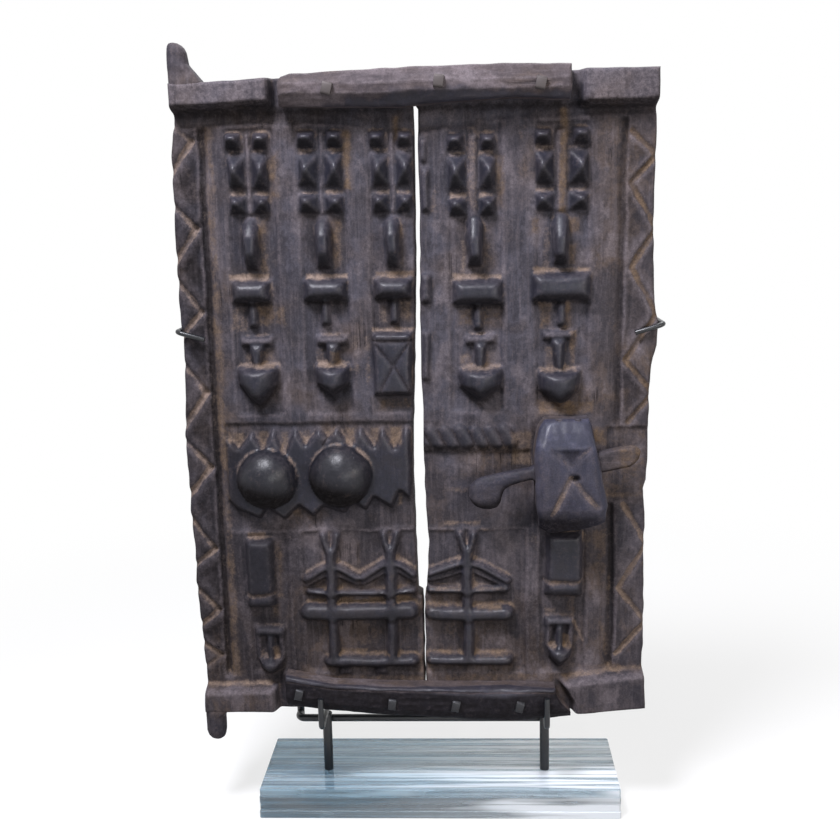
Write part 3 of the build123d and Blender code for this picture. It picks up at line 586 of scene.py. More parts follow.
def carve_left_face(relief):
    repeat(relief.sink, ((-184, -137, 322, 603), (-113, -67, 322, 603), (-45, 20, 322, 603),
                         (-200, 20, 200, 312), (-182, -140, 44, 196), (-124, 20, 44, 198)), FIELD)
    relief.sink_shape([(-250, 603), (-160, 607), (20, 600), (20, 621), (-250, 621)], FIELD, 3.5)
    # painted shadow under the rails and the upper batten
    relief.paint("soot", -250, 20, 613, 622, 0.85, 5)
    relief.paint("soot", -128, 20, 606, 622, 0.55, 5)
    relief.warm += 0.3 * ease(relief.true_z, 330, 90)
    for edges, x in zip(ROW_ONE[:3], BEAKS):
        carve_beak(relief, x)
        carve_row_one(relief, *edges)
    for bar in ((-184, -145, 435, 457), (-112, -69, 436, 457), (-42, -5, 437, 457)):
        carve_bar(relief, *bar)
    carve_arch_and_heart(relief, -161.5, 400, 21, 371, 331)
    carve_arch_and_heart(relief, -86, 400, 18, 371, 338)
    relief.stud(-46, -6, 339, 404, 8, 2.5)
    for line in ([(-42, 392), (-25, 371), (-10, 392)], [(-39, 344), (-25, 371), (-9, 344)]):
        relief.vee(line, 4.5, 2.6, dust=0.0, soot=0.7)
    relief.vee([(-45, 395.5), (-7, 395.5)], 5, 2.6, dust=0.0, soot=0.95)
    relief.slab(TEETH_LOW + TEETH_HIGH[::-1], 5, 3.0, polish=0.75)
    relief.vee([(-99, 289), (-92, 300)], 3, 2.5, dust=0.0, soot=1.0)
    relief.dome(-157, 256, 32, 29)
    relief.dome(-81.5, 258, 33, 30)
    carve_panel(relief, (-183, -154, 117, 191), 10, [(-183, 130), (-154, 132)], 0.4,
                (-182, -155, 114, 126))
    carve_anchor(relief, -162.5, 94, 55, 42)
    carve_belts(relief, ((-125, -8, 103, 121, 9, 0.8), (-122, -8, 130, 136, 5, 1.5),
                         (-104, -8, 51, 63, 8, 0.5)))
    carve_figure(relief, -95, 52, 194)
    carve_figure(relief, -33.5, 52, 195)
    carve_arms(relief, -95, 163, ((-122, 147), (-68, 149)))
    carve_arms(relief, -33.5, 166, ((-63, 149), (-9, 151)))
    for x in (-84, -46):
        foot = [(x - 9, 41), (x + 9, 41), (x + 7, 51), (x - 7, 51)]
        relief.boss(foot, (x, 47), (0.5, 0.5), 3, polish=0.5)
    relief.paint("warm", -145, 0, 30, 150, 0.9, 14)
    # painted shade under the left end of the belt
    relief.paint("soot", -140, -104, 92, 112, 0.35, 10)
    right = [592, 509, 426, 344, 266, 179, 113, 62]
    left = [(558, 533), (472, 460), (397, 379), (310, 295), (236, 214), (159, 140), (91, 82)]
    relief.vee([(-240, 612), (-216, 592)], 6, 3.0, dust=0.3)
    for (upper, lower), above, below in zip(left, right, right[1:]):
        relief.vee([(-216, above), (-241, upper)], 8, 4.8, dust=0.62)
        relief.vee([(-241, lower), (-216, below)], 8, 4.8, dust=0.5)
        # inner triangles of the border, sunk and darkened with painted shade
        triangle = [(-212, above - 11), (-212, below + 9), (-234, (upper + lower) / 2)]
        relief.sink_shape(triangle, 2.6, 4, 0.8)
    relief.vee([(-216, 62), (-240, 45)], 6, 3.2, dust=0.45)
    edge_step(relief, [(-210, 40), (-211, 300), (-209, 606)], 1, 7, 20, 0.62, 1.0)
    # painted shade: the left border, the lower left panels and the hollows by the figures
    repeat(relief.paint, (
        ("soot", -250, -212, 30, 604, 0.58, 3), ("soot", -215, -120, 34, 200, 0.46, 14),
        ("soot", -128, -6, 40, 128, 0.26, 16), ("soot", -78, -54, 74, 96, 0.5, 9),
        ("soot", -200, -180, 210, 300, 0.5, 9)))
    lay_patches(relief, LEFT_DUST_AND_LIGHT)


def carve_right_face(relief):
    repeat(relief.sink, ((32, 84, 322, 603), (117, 168, 322, 603), (0, 112, 200, 281),
                         (0, 106, 44, 198), (120, 166, 44, 200), (188, 240, 228, 304)), FIELD)
    relief.sink_shape([(-20, 592), (60, 601), (100, 607), (250, 608), (250, 617), (-20, 622)],
                      FIELD + 1, 4.5)
    # painted shadow under the rails and the upper batten
    relief.paint("soot", -20, 170, 613, 624, 0.9, 5)
    relief.warm += 0.3 * ease(relief.true_z, 330, 90)
    for edges, x in zip(ROW_ONE[3:], BEAKS[3:]):
        carve_beak(relief, x, -6)
        carve_row_one(relief, *edges)
    carve_bar(relief, 35, 85, 429, 454)
    carve_bar(relief, 113, 171, 432, 459)
    carve_arch_and_heart(relief, 62, 398, 21.5, 366, 332)
    carve_arch_and_heart(relief, 139.5, 402, 21.5, 363, 326)
    repeat(relief.stud, ((5, 14.5, 520, 562, 6), (4.5, 12.5, 567, 590, 5), (3.5, 14.5, 431, 461, 7),
                         (3.5, 12, 354, 404, 6)), 3, belly=0.6, polish=0.6)
    relief.stud(3, 96, 285, 306, 1.5, 2, polish=0.7)
    step = 88 / 6
    strands = [6 + step * k for k in range(7)]
    for x in strands[:6]:
        relief.ridge([(x + 0.92 * step, 290), (x + 0.3 * step, 302)], 6.2, 3.4, square=2.6,
                     polish=0.6)
    for x in strands:
        relief.vee([(x + 0.35 * step, 288), (x - 0.2 * step, 303)], 4, 2.3, dust=0.0, soot=0.75)
    # painted shadow under the rope band
    relief.paint("soot", 3, 92, 280, 288, 0.8)
    carve_panel(relief, (126.5, 163, 128, 196), 11, [(127, 143), (163, 145)], 0.5,
                (128, 162, 126, 138))
    carve_anchor(relief, 141, 103, 66, 48)
    carve_belts(relief, ((4, 91, 102, 118, 9, 0.8), (5, 88, 131, 138, 5, 1.0),
                         (4, 90, 52, 64, 8, 0.5)))
    carve_figure(relief, 46, 52, 194)
    carve_arms(relief, 46, 165, ((6, 152), (87, 144)))
    # painted shadow under the bolt's grip
    relief.streak("soot", [(50, 238), (62, 231), (80, 236), (90, 249), (112, 254)], 5, 0.6, 5)
    # painted shade in the lower middle of the plank
    relief.paint("soot", 58, 92, 84, 104, 0.6, 6)
    relief.paint("soot", 92, 122, 52, 124, 0.4, 9)
    relief.paint("warm", 0, 120, 30, 130, 0.8, 14)
    upper = [(209, 592), (233, 570), (209, 543), (233, 500), (210, 462), (235, 417),
             (205, 371), (233, 337), (209, 308)]
    lower = [(205, 224), (229, 182), (200, 134), (229, 98), (199, 63)]
    for (ax, az), (bx, bz), (cx, cz) in zip(upper[::2], upper[1::2], upper[2::2]):
        # border triangles, sunk with a little painted shade
        relief.sink_shape([(ax - 3, az - 9), (cx - 3, cz + 9), (bx - 8, bz)], 2, 4, 0.3)
    relief.vee(upper, 7.5, 4.2, dust=0.6)
    relief.vee(lower, 8, 4.6, dust=0.75)
    edge_step(relief, [(199, 306), (200, 431), (204, 606)], -1, 3.6, 14, 0.1, 0.7)
    edge_step(relief, [(194, 46), (194, 226)], -1, 5, 16, 0.18, 0.8)
    repeat(relief.paint, (("warm", 172, 245, 228, 640, 0.9, 14),
                          ("warm", 166, 192, 120, 240, 0.9, 12),
                          ("warm", 86, 112, 520, 600, 0.5, 8)))
    # dust with painted light along lit edges of the strips and figures
    repeat(relief.streak, (
        ("dust", [(144, 612), (142, 520)], 8, 0.6), ("warm", [(144, 612), (142, 520)], 12, 1.0),
        ("dust", [(155, 100), (165, 78)], 3.5, 0.6), ("dust", [(182, 98), (190, 62)], 3, 0.45),
        ("dust", [(191, 62), (191, 150)], 2, 0.35), ("dust", [(204, 138), (228, 164)], 5, 0.3)))
    lay_patches(relief, RIGHT_DUST_AND_LIGHT)


# ---------------------------------------------------------------- meshes
def in_row(points):
    """Door points in mm as points of the part's frame in metres."""
    return (np.asarray(points, float) + DOOR_PLACE) / 1000


def add_object(name, data):
    made = bpy.data.objects.new(name, data)
    bpy.context.scene.collection.objects.link(made)
    return made


def smooth(mesh, angle):
    """Shade smooth, apart from the edges sharper than an angle."""
    mesh.polygons.foreach_set("use_smooth", [True] * len(mesh.polygons))
    mesh.set_sharp_from_angle(angle=radians(angle))


def make_piece(name, points, faces, layers=None, sharp=38):
    mesh = bpy.data.meshes.new(name)
    mesh.from_pydata(np.asarray(points, float).tolist(), [], faces)
    for layer, values in (layers or {}).items():
        mesh.attributes.new(layer, "FLOAT", "POINT").data.foreach_set(
            "value", np.asarray(values, np.float32))
    mesh.validate()
    smooth(mesh, sharp)
    return add_object(name, mesh)


def grid_faces(shape, start=0, order=(0, 1, 2, 3)):
    rows, cols = shape
    grid = np.arange(rows * cols).reshape(rows, cols) + start
    corners = grid[:-1, :-1], grid[:-1, 1:], grid[1:, 1:], grid[1:, :-1]
    return np.stack([corners[k] for k in order], -1).reshape(-1, 4).tolist()


def wall_faces(ring, beyond):
    """Faces between two rings of point numbers."""
    return np.stack((ring, beyond, np.roll(beyond, -1), np.roll(ring, -1)), -1).tolist()


def rim(rows, cols):
    """Grid indices round the edge of a grid, anticlockwise to a viewer at -y."""
    grid = np.arange(rows * cols).reshape(rows, cols)
    return np.concatenate((grid[0, :-1], grid[:-1, -1], grid[-1, :0:-1], grid[:0:-1, 0]))


def block_faces(front_shape, back_shape):
    """Faces of a block with a fine front grid, wall rows and a coarser back grid."""
    faces = grid_faces(front_shape)
    ring = rim(*front_shape)
    count = len(ring)
    start = front_shape[0] * front_shape[1]
    for _ in range(WALL_ROWS):
        beyond = np.arange(start, start + count)
        faces += wall_faces(ring, beyond)
        ring = beyond
        start += count
    faces += grid_faces(back_shape, start, (0, 3, 2, 1))
    coarse = (rim(*back_shape) + start).tolist()
    for k, (c0, c1) in enumerate(zip(coarse, coarse[1:] + coarse[:1])):
        f = [int(ring[(BACK_STEP * k + n) % count]) for n in range(BACK_STEP + 1)]
        faces += [[f[0], c0, f[1]], [f[1], c0, c1], [f[1], c1, f[2]], [f[2], c1, f[3]]]
    return faces


def board_grid(edges, pitch, seed):
    """The x and z of a board's front points, and their distance inside its wavy edges."""
    left, right, foot, head = edges
    wide = max(p[0] for p in right) - min(p[0] for p in left)
    low, high = min(p[1] for p in foot), max(p[1] for p in head)
    cols, rows = (BACK_STEP * round(size / pitch / BACK_STEP) + 1 for size in (wide, high - low))
    u, v = np.linspace(0, 1, cols)[None, :], np.linspace(0, 1, rows)[:, None]
    z = low + v * (high - low) + 0 * u
    x0 = x_at(left, z) + 0.5 * hand_noise(z * 0 + 3, z, 9, 13, seed + 31) + 0.5
    x1 = x_at(right, z) + 0.5 * hand_noise(z * 0 + 7, z, 9, 11, seed + 32) - 0.5
    x = x0 + (x1 - x0) * u
    z0 = z_at(foot, x) + 0.4 * hand_noise(x, x * 0 + 3, 12, 9, seed + 33) + 0.4
    z1 = z_at(head, x) + 0.4 * hand_noise(x, x * 0 + 9, 14, 9, seed + 34) - 0.4
    z = z0 + (z1 - z0) * v
    return x, z, box_depth(x, z, x0, x1, z0, z1)


def board(name, edges, carve, back_y, round_edge, wall_marks=0.5, back_marks=0.0, pitch=None):
    """A hewn board: edges gives its left, right, foot and head lines in mm, and carve works
    its front and returns its wear, with painted light where it adds some. Each line is a list of
    points that climbs or runs to the right."""
    settings = bpy.context.scene.granary_carving
    seed, pitch = settings.seed, pitch or settings.pitch * 1000
    x, z, inset = board_grid(edges, pitch, seed)
    relief = Relief(x, z, pitch, settings)
    wear = carve(relief)
    radius = round_edge * (1 + 0.3 * hand_noise(x, z, 16, 19, seed + 35))
    lack = np.clip(radius - inset, 0, radius)
    relief.height -= radius - np.sqrt(np.maximum(radius ** 2 - lack ** 2, 0))
    wear = np.maximum(wear, 0.6 * ease(lack / radius, 0.25, 0.8))
    front = np.stack((x, -relief.height, z), -1).reshape(-1, 3)
    ring, centre = front[rim(*x.shape)], front.mean(0)
    pieces = [front]
    for k in range(1, WALL_ROWS + 1):
        wall = ring.copy()
        wall[:, 1] += (back_y - wall[:, 1]) * (k / WALL_ROWS) * 0.985
        if k < WALL_ROWS:
            marks = wall_marks * hand_noise(wall[:, 0] + wall[:, 2], wall[:, 1], 11, 9, seed + 36)
            pull = np.sign(centre - wall) * np.array((1, 0, 1)) * 0.5
            wall += pull * (marks[:, None] * 0.5 + 0.5) * wall_marks
        pieces.append(wall)
    back = np.stack((x, x * 0 + back_y, z), -1)[::BACK_STEP, ::BACK_STEP].copy()
    if back_marks:
        bx, bz = back[..., 0], back[..., 2]
        hewn = np.abs(hand_noise(bx, bz, 26, 48, seed + 40)) + 0.5 * np.abs(
            hand_noise(bx, bz, 12, 17, seed + 41))
        from_rim = [np.minimum(np.arange(n), np.arange(n)[::-1]) for n in bx.shape]
        back[..., 1] -= back_marks * hewn * np.minimum(1, np.minimum.outer(*from_rim) / 2)
    pieces.append(back.reshape(-1, 3))
    points = np.concatenate(pieces)
    layers = {layer: np.append(values, np.full(len(points) - len(front), elsewhere))
              for layer, values, elsewhere in (
                  ("dust", relief.dust, 0.08), ("soot", relief.soot, 0.1),
                  ("polish", relief.polish, 0), ("warm", relief.warm, 0.45), ("wear", wear, 0))}
    return make_piece(name, in_row(points), block_faces(x.shape, back.shape[:2]), layers, 50)


def ring_loft(name, rings, layers=None):
    """A closed shape through rings of equal point counts, all turning the same way."""
    count, top = len(rings[0]), (len(rings) - 1) * len(rings[0])
    points = np.concatenate([*rings, [rings[0].mean(0), rings[-1].mean(0)]])
    foot, head = len(points) - 2, len(points) - 1
    faces = []
    ring = np.arange(count)
    for start in range(0, top, count):
        sides = (ring, np.roll(ring, -1), np.roll(ring, -1) + count, ring + count)
        faces += (np.stack(sides, -1) + start).tolist()
    for n in range(count):
        after = (n + 1) % count
        faces += [[foot, after, n], [head, top + n, top + after]]
    piece = make_piece(name, in_row(points), faces, layers, 55)
    mesh = bmesh.new()
    mesh.from_mesh(piece.data)
    bmesh.ops.recalc_face_normals(mesh, faces=mesh.faces)
    mesh.to_mesh(piece.data)
    mesh.free()
    return piece


def squared_ring(centre_x, centre_y, half_x, half_y, z, power, count):
    """A rounded rectangle at one height, as points in mm."""
    x = centre_x + half_x * squared(np.cos(turns(count)), power)
    y = centre_y + half_y * squared(np.sin(turns(count)), power)
    return np.stack((x, y, np.full(count, z)), -1)


def settle(piece):
    """Turn the modifiers of a piece into plain mesh, and take them off."""
    ready = piece.evaluated_get(bpy.context.evaluated_depsgraph_get())
    mesh = bpy.data.meshes.new_from_object(ready)
    piece.modifiers.clear()
    old, piece.data = piece.data, mesh
    bpy.data.meshes.remove(old)
    mesh.name = piece.name
    return piece


def cut_away(piece, cutter):
    """Cut one mesh out of another and remove the cutter."""
    cut = piece.modifiers.new("cut", "BOOLEAN")
    cut.operation, cut.solver, cut.object = "DIFFERENCE", "EXACT", cutter
    settle(piece)
    bpy.data.objects.remove(cutter)


def bevel_edges(piece, width, angle=30):
    bevel = piece.modifiers.new("bevel", "BEVEL")
    bevel.width, bevel.segments, bevel.limit_method = width, 2, "ANGLE"
    bevel.angle_limit = radians(angle)
    settle(piece)


# ---------------------------------------------------------------- nodes
class Nodes:
    """A node tree, with short calls for the nodes that it needs."""

    def __init__(self, tree):
        self.tree = tree
        tree.nodes.clear()

    def add(self, kind, inputs=(), output=0, **settings):
        """Add a node, link or set its inputs, and give one of its outputs."""
        made = self.tree.nodes.new(kind)
        for key, value in settings.items():
            setattr(made, key, value)
        for key, value in dict(inputs).items():
            if isinstance(value, bpy.types.NodeSocket):
                self.tree.links.new(value, made.inputs[key])
            else:
                made.inputs[key].default_value = value
        return made.outputs[output] if made.outputs else None

    def math(self, operation, first, second=0.0):
        return self.add("ShaderNodeMath", {0: first, 1: second}, operation=operation)

    def plus(self, first, second):
        return self.math("ADD", first, second)

    def times(self, first, second):
        return self.math("MULTIPLY", first, second)

    def rest(self, value):
        """What is left of 1 after a value."""
        return self.math("SUBTRACT", 1.0, value)

    def rays(self, *kinds):
        """1 for rays of the named kinds."""
        path = self.tree.nodes.new("ShaderNodeLightPath").outputs
        found = path[f"Is {kinds[0]} Ray"]
        for kind in kinds[1:]:
            found = self.math("MAXIMUM", found, path[f"Is {kind} Ray"])
        return found


class Shade(Nodes):
    """A material on Object coordinates."""

    def __init__(self, name):
        self.material = bpy.data.materials.new(name)
        self.material.use_nodes = True
        super().__init__(self.material.node_tree)
        self.place = self.add("ShaderNodeTexCoord", output="Object")

    def stretched(self, scale, turn=(0, 0, 0)):
        return self.add("ShaderNodeMapping",
                        {"Vector": self.place, "Scale": scale, "Rotation": turn})

    def noise(self, scale, detail=4.0, rough=0.55, place=None, distort=0.0):
        return self.add("ShaderNodeTexNoise", {
            "Vector": place or self.place, "Scale": scale, "Detail": detail, "Roughness": rough,
            "Distortion": distort}, noise_dimensions="3D")

    def span(self, value, low, high, to_low=0.0, to_high=1.0):
        return self.add("ShaderNodeMapRange", {0: value, 1: low, 2: high, 3: to_low, 4: to_high},
                        interpolation_type="SMOOTHSTEP")

    def mix(self, share, first, second):
        first, second = (c if isinstance(c, bpy.types.NodeSocket) else (*c, 1)
                         for c in (first, second))
        return self.add("ShaderNodeMix", {0: share, 6: first, 7: second}, 2, data_type="RGBA")

    def veil(self, base, pattern, low, high, share, colour):
        """Lay a colour over a base where a pattern climbs from low to high."""
        return self.mix(self.span(pattern, low, high, 0.0, share), base, colour)

    def blend(self, share, first, second):
        return self.add("ShaderNodeMix", {0: share, 2: first, 3: second}, data_type="FLOAT")

    def bump(self, height, strength, distance, under=None):
        inputs = {"Height": height, "Strength": strength, "Distance": distance}
        if under:
            inputs["Normal"] = under
        return self.add("ShaderNodeBump", inputs)

    def surface(self, **inputs):
        return self.add("ShaderNodeBsdfPrincipled",
                        {key.replace("_", " "): value for key, value in inputs.items()})

    def finish(self, **inputs):
        self.add("ShaderNodeOutputMaterial", {0: self.surface(**inputs)})
        return self.material


def toned(colour, share):
    """A colour made darker by a share under 1, or paler by one over 1."""
    return tuple(c * share for c in colour)


def carved_wood(name, dry, handled, grain_axis, shine, finish):
    """Old smoked hardwood: mottled dry field, handled motifs, painted shade in the hollows and
    under the motifs, and dust with painted light on the ledges.
    """
    shade = Shade(name)
    span, plus, times, rest, noise = shade.span, shade.plus, shade.times, shade.rest, shade.noise

    def along(*scale):
        return shade.stretched(scale if grain_axis == "z" else scale[::-1])

    grain = noise(1.0, 5.0, 0.62, along(210, 210, 14), 0.35)
    figure = noise(1.0, 3.0, 0.5, along(46, 46, 4.5), 0.8)
    patch = noise(15.0, 3.0, 0.6)
    cloud = noise(26.0, 4.0, 0.6, along(1.2, 1, 0.7))
    mottle = noise(60.0, 4.0, 0.62)
    speckle = noise(620.0, 3.0, 0.7)
    grit = noise(210.0, 4.0, 0.75)
    height = shade.add("ShaderNodeSeparateXYZ", {0: shade.place}, 2)
    dust, polish, warm, wear, soot = (
        shade.add("ShaderNodeAttribute", output=2, attribute_name=layer)
        for layer in ("dust", "polish", "warm", "wear", "soot"))

    brownness = plus(span(patch, 0.44, 0.64, 0.0, 0.7), span(height, 0.45, 0.12, 0.0, 0.25))
    brownness = shade.math("MINIMUM", plus(brownness, times(warm, 0.5)), 1.0)
    base = shade.mix(brownness, dry, finish.brown)
    for pattern, low, high, share, colour in (
            (cloud, 0.49, 0.57, 0.62, toned(dry, 0.45)), (cloud, 0.46, 0.37, 0.5, finish.worn_and_lit),
            (mottle, 0.47, 0.58, 0.5, toned(dry, 0.5)),
            (figure, 0.46, 0.66, 0.20, toned(handled, 0.9)),
            (grain, 0.46, 0.66, 0.20, finish.worn_and_lit)):
        base = shade.veil(base, pattern, low, high, share, colour)

    dark = shade.veil(handled, grit, 0.40, 0.62, 0.45, toned(handled, 0.6))
    dark = shade.veil(dark, mottle, 0.45, 0.62, 0.5, toned(handled, 1.9))
    base = shade.mix(times(span(polish, 0.0, 0.8), 0.86), base, dark)
    base = shade.veil(base, polish, 0.92, 1.12, 0.75, toned(handled, 0.45))
    # worn colour on the worn edges, and painted light on the upper rails
    bare = times(times(wear, span(grit, 0.36, 0.64, 0.2, 0.5)), span(polish, 0.1, 0.9, 1.0, 0.22))
    base = shade.mix(bare, base, finish.worn_and_lit)
    # painted shade: darkens the colour and dulls the gloss
    shade_share = times(soot, span(grit, 0.40, 0.64, 1.0, 0.82))
    base = shade.mix(times(shade_share, 0.86), base, finish.soot)

    # dust with painted light on the ledges and lit edges
    laid = plus(dust, span(grit, 0.38, 0.64, -0.12, 0.10))
    laid = plus(laid, span(mottle, 0.42, 0.62, -0.12, 0.12))
    laid = span(laid, 0.06, 0.95, 0.0, 0.9)
    clay = shade.math("MINIMUM", times(warm, 0.8), 1.0)
    base = shade.mix(laid, base, shade.mix(clay, finish.dust, finish.gold))
    uneven = times(span(grit, 0.38, 0.62, 0.90, 1.10), span(speckle, 0.36, 0.64, 0.88, 1.13))
    base = shade.add("ShaderNodeVectorMath", {0: base, 3: uneven}, operation="SCALE")

    veins = shade.math("SUBTRACT", noise(1.0, 2.0, 0.5, along(75, 75, 1.7), 0.4), 0.5)
    veins = shade.math("ABSOLUTE", veins)
    split = times(times(span(veins, 0.008, 0.002), span(patch, 0.57, 0.66)), rest(polish))
    base = shade.mix(times(split, 0.5), base, toned(handled, 0.3))

    rough = shade.blend(laid, span(polish, 0.3, 0.95, 0.64, shine), 0.9)
    rough = shade.blend(shade_share, rough, 0.75)
    rough = plus(rough, span(grit, 0.3, 0.7, -0.05, 0.08))
    gloss = times(span(polish, 0.2, 1.1, 0.08, 0.32), rest(laid))
    gloss = times(gloss, rest(times(shade_share, 0.95)))
    bumps = None
    for pattern, strength, distance in (
            (grain, 0.30, 0.0008), (mottle, 0.35, 0.0016), (grit, 0.12, 0.0008),
            (speckle, 0.08, 0.0004), (rest(split), 0.8, 0.0010)):
        bumps = shade.bump(pattern, strength, distance, bumps)
    return shade.finish(Base_Color=base, Roughness=rough, Normal=bumps, Specular_IOR_Level=gloss)


def forged_iron(name, colour):
    shade = Shade(name)
    scale = shade.noise(420.0, 4.0, 0.6)
    rust = shade.noise(160.0, 5.0, 0.7)
    base = shade.veil(colour, rust, 0.54, 0.70, 0.4, srgb(74, 60, 54))
    base = shade.veil(base, scale, 0.45, 0.65, 0.5, toned(colour, 0.5))
    return shade.finish(Base_Color=base, Metallic=0.45, Normal=shade.bump(scale, 0.5, 0.0006),
                        Roughness=shade.span(rust, 0.4, 0.7, 0.42, 0.8))


def satin_paint(name, colour):
    shade = Shade(name)
    orange_peel = shade.noise(900.0, 2.0, 0.5)
    streak_noise = shade.noise(130.0, 5.0, 0.8, shade.stretched((1, 1, 0.35)))
    base = shade.veil(colour, streak_noise, 0.60, 0.74, 0.35, srgb(58, 58, 60))
    rough = shade.span(streak_noise, 0.35, 0.7, 0.30, 0.48)
    return shade.finish(Base_Color=base, Roughness=rough, Specular_IOR_Level=0.5,
                        Normal=shade.bump(orange_peel, 0.08, 0.0002))


def plate_glass(name, colour):
    """Clear plate with painted reflections of the room along it, pale bands and teal at its left
    end, and painted white glints toward its right end.
    """
    shade = Shade(name)
    span, times = shade.span, shade.times
    smears = shade.noise(28.0, 4.0, 0.6, shade.stretched((0.4, 1, 1)))
    bands = shade.noise(1.0, 3.0, 0.5, shade.stretched((2.2, 85, 30)), 0.3)
    side = shade.add("ShaderNodeSeparateXYZ", {0: shade.place})
    base = shade.veil(colour, smears, 0.42, 0.62, 0.5, toned(colour, 0.86))
    # painted reflections: pale bands along the plate, teal at its left end
    base = shade.veil(base, bands, 0.46, 0.58, 0.9, srgb(188, 216, 230))
    teal = times(span(side, 0.0, -0.14), span(bands, 0.50, 0.42))
    base = shade.mix(times(teal, 0.8), base, srgb(96, 148, 174))
    # painted glints: pale streaks over a thin film, whiter and stronger toward the right end
    streak_noise = shade.noise(1.0, 3.0, 0.6, shade.stretched((3.5, 130, 30), (0, 0, 0.03)), 0.2)
    film_and_glints = times(span(streak_noise, 0.47, 0.60, 0.28, 1.0), span(side, -0.16, 0.12, 0.55, 0.95))
    glint_colour = shade.mix(span(side, -0.15, 0.10), srgb(136, 180, 202), srgb(238, 244, 249))
    base = shade.mix(film_and_glints, base, glint_colour)
    rough = span(smears, 0.45, 0.75, 0.01, 0.06)
    return shade.finish(Base_Color=base, Roughness=rough, IOR=1.5,
                        Transmission_Weight=shade.rest(film_and_glints),
                        Normal=shade.bump(bands, 0.18, 0.0010))


def plated_steel(name):
    shade = Shade(name)
    brushed = shade.noise(300.0, 4.0, 0.6, shade.stretched((1, 8, 1)))
    base = shade.mix(shade.span(brushed, 0.35, 0.7), srgb(176, 178, 182), srgb(132, 134, 140))
    return shade.finish(Base_Color=base, Metallic=1.0, Normal=shade.bump(brushed, 0.1, 0.0002),
                        Roughness=shade.span(brushed, 0.3, 0.7, 0.28, 0.46))


def named_material(name):
    """A finished material by name, made on its first use."""
    if name in bpy.data.materials:
        return bpy.data.materials[name]
    finish = bpy.context.scene.granary_finish
    field, motif, iron = finish.field, finish.motif, finish.iron
    maker, *values = {
        "carved_hardwood": (carved_wood, field, motif, "z", 0.37, finish),
        "batten_hardwood": (carved_wood, finish.batten, toned(motif, 1.3), "x", 0.42, finish),
        "lock_hardwood": (carved_wood, toned(field, 1.05), toned(motif, 3.0), "z", 0.36, finish),
        "bolt_hardwood": (carved_wood, toned(field, 0.8), toned(motif, 1.6), "x", 0.40, finish),
        "forged_iron": (forged_iron, iron),
        # iron toned nearly black, for the lower staples
        "sooted_iron": (forged_iron, toned(iron, 0.05)),
        "satin_black_paint": (satin_paint, finish.paint),
        "plate_glass": (plate_glass, finish.glass),
        "zinc_plated_steel": (plated_steel,),
    }[name]
    return maker(name, *values)


def dress_mesh(mesh, material):
    mesh.materials.clear()
    mesh.materials.append(named_material(material))


def dress_node(node, material):
    dress_mesh(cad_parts[node].data, material)


def dress(piece, material, replaces=(), body=STAND, sharp=None):
    """Give a finished piece its material, its body and the nodes that it stands for."""
    if sharp:
        smooth(piece.data, sharp)
    dress_mesh(piece.data, material)
    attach(piece, body)
    if replaces:
        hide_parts(*replaces)


# ---------------------------------------------------------------- geometry node trees
class Growth(Nodes):
    """A geometry node tree that turns a few points or edges into finished geometry."""

    def __init__(self, name, **inputs):
        super().__init__(bpy.data.node_groups.new(name, "GeometryNodeTree"))
        for label, kind in {"Geometry": "Geometry", **inputs, "Material": "Material"}.items():
            self.tree.interface.new_socket(label, in_out="INPUT", socket_type="NodeSocket" + kind)
        self.tree.interface.new_socket("Geometry", in_out="OUTPUT",
                                       socket_type="NodeSocketGeometry")
        self.given = self.tree.nodes.new("NodeGroupInput").outputs

    def fillet(self, curve, radius, count):
        return self.add("GeometryNodeFilletCurve", {
            "Curve": curve, "Count": count, "Radius": radius, "Limit Radius": True}, mode="POLY")

    def rectangle(self, width, height):
        return self.add("GeometryNodeCurvePrimitiveQuadrilateral",
                        {"Width": width, "Height": height}, mode="RECTANGLE")

    def beaten(self, geometry, scale, amount):
        """Push the points of a geometry about, as a hammer does."""
        dents = self.add("ShaderNodeTexNoise", {"Scale": scale, "Detail": 2.0}, 1)
        dents = self.add("ShaderNodeVectorMath", {0: dents, 1: (0.5, 0.5, 0.5)},
                         operation="SUBTRACT")
        dents = self.add("ShaderNodeVectorMath", {0: dents, "Scale": amount}, operation="SCALE")
        return self.add("GeometryNodeSetPosition", {"Geometry": geometry, "Offset": dents})

    def chance(self, low, high):
        return self.add("FunctionNodeRandomValue", {2: low, 3: high, "Seed": self.given["Seed"]},
                        1, data_type="FLOAT")

    def scatter(self, geometry, turn, **more):
        """Copies of a geometry at the given points, each turned about y by its own angle."""
        turn = self.add("ShaderNodeCombineXYZ", {1: turn})
        spots = self.add("GeometryNodeMeshToPoints", {"Mesh": self.given["Geometry"]})
        return self.add("GeometryNodeInstanceOnPoints", {
            "Points": spots, "Instance": geometry, "Rotation": turn, **more})

    def close(self, geometry):
        real = self.add("GeometryNodeRealizeInstances", {0: geometry})
        painted = self.add("GeometryNodeSetMaterial",
                           {"Geometry": real, "Material": self.given["Material"]})
        self.add("NodeGroupOutput", {0: painted})
        return self.tree


def grow(name, points, tree, edges=(), **values):
    """Run a geometry node tree on a few door points and keep its result as plain mesh."""
    mesh = bpy.data.meshes.new(name)
    mesh.from_pydata(in_row(points).tolist(), edges, [])
    piece = add_object(name, mesh)
    modifier = piece.modifiers.new("grow", "NODES")
    modifier.node_group = tree
    for item in tree.interface.items_tree:
        if item.in_out == "INPUT" and item.name in values:
            modifier[item.identifier] = values[item.name]
    return settle(piece)


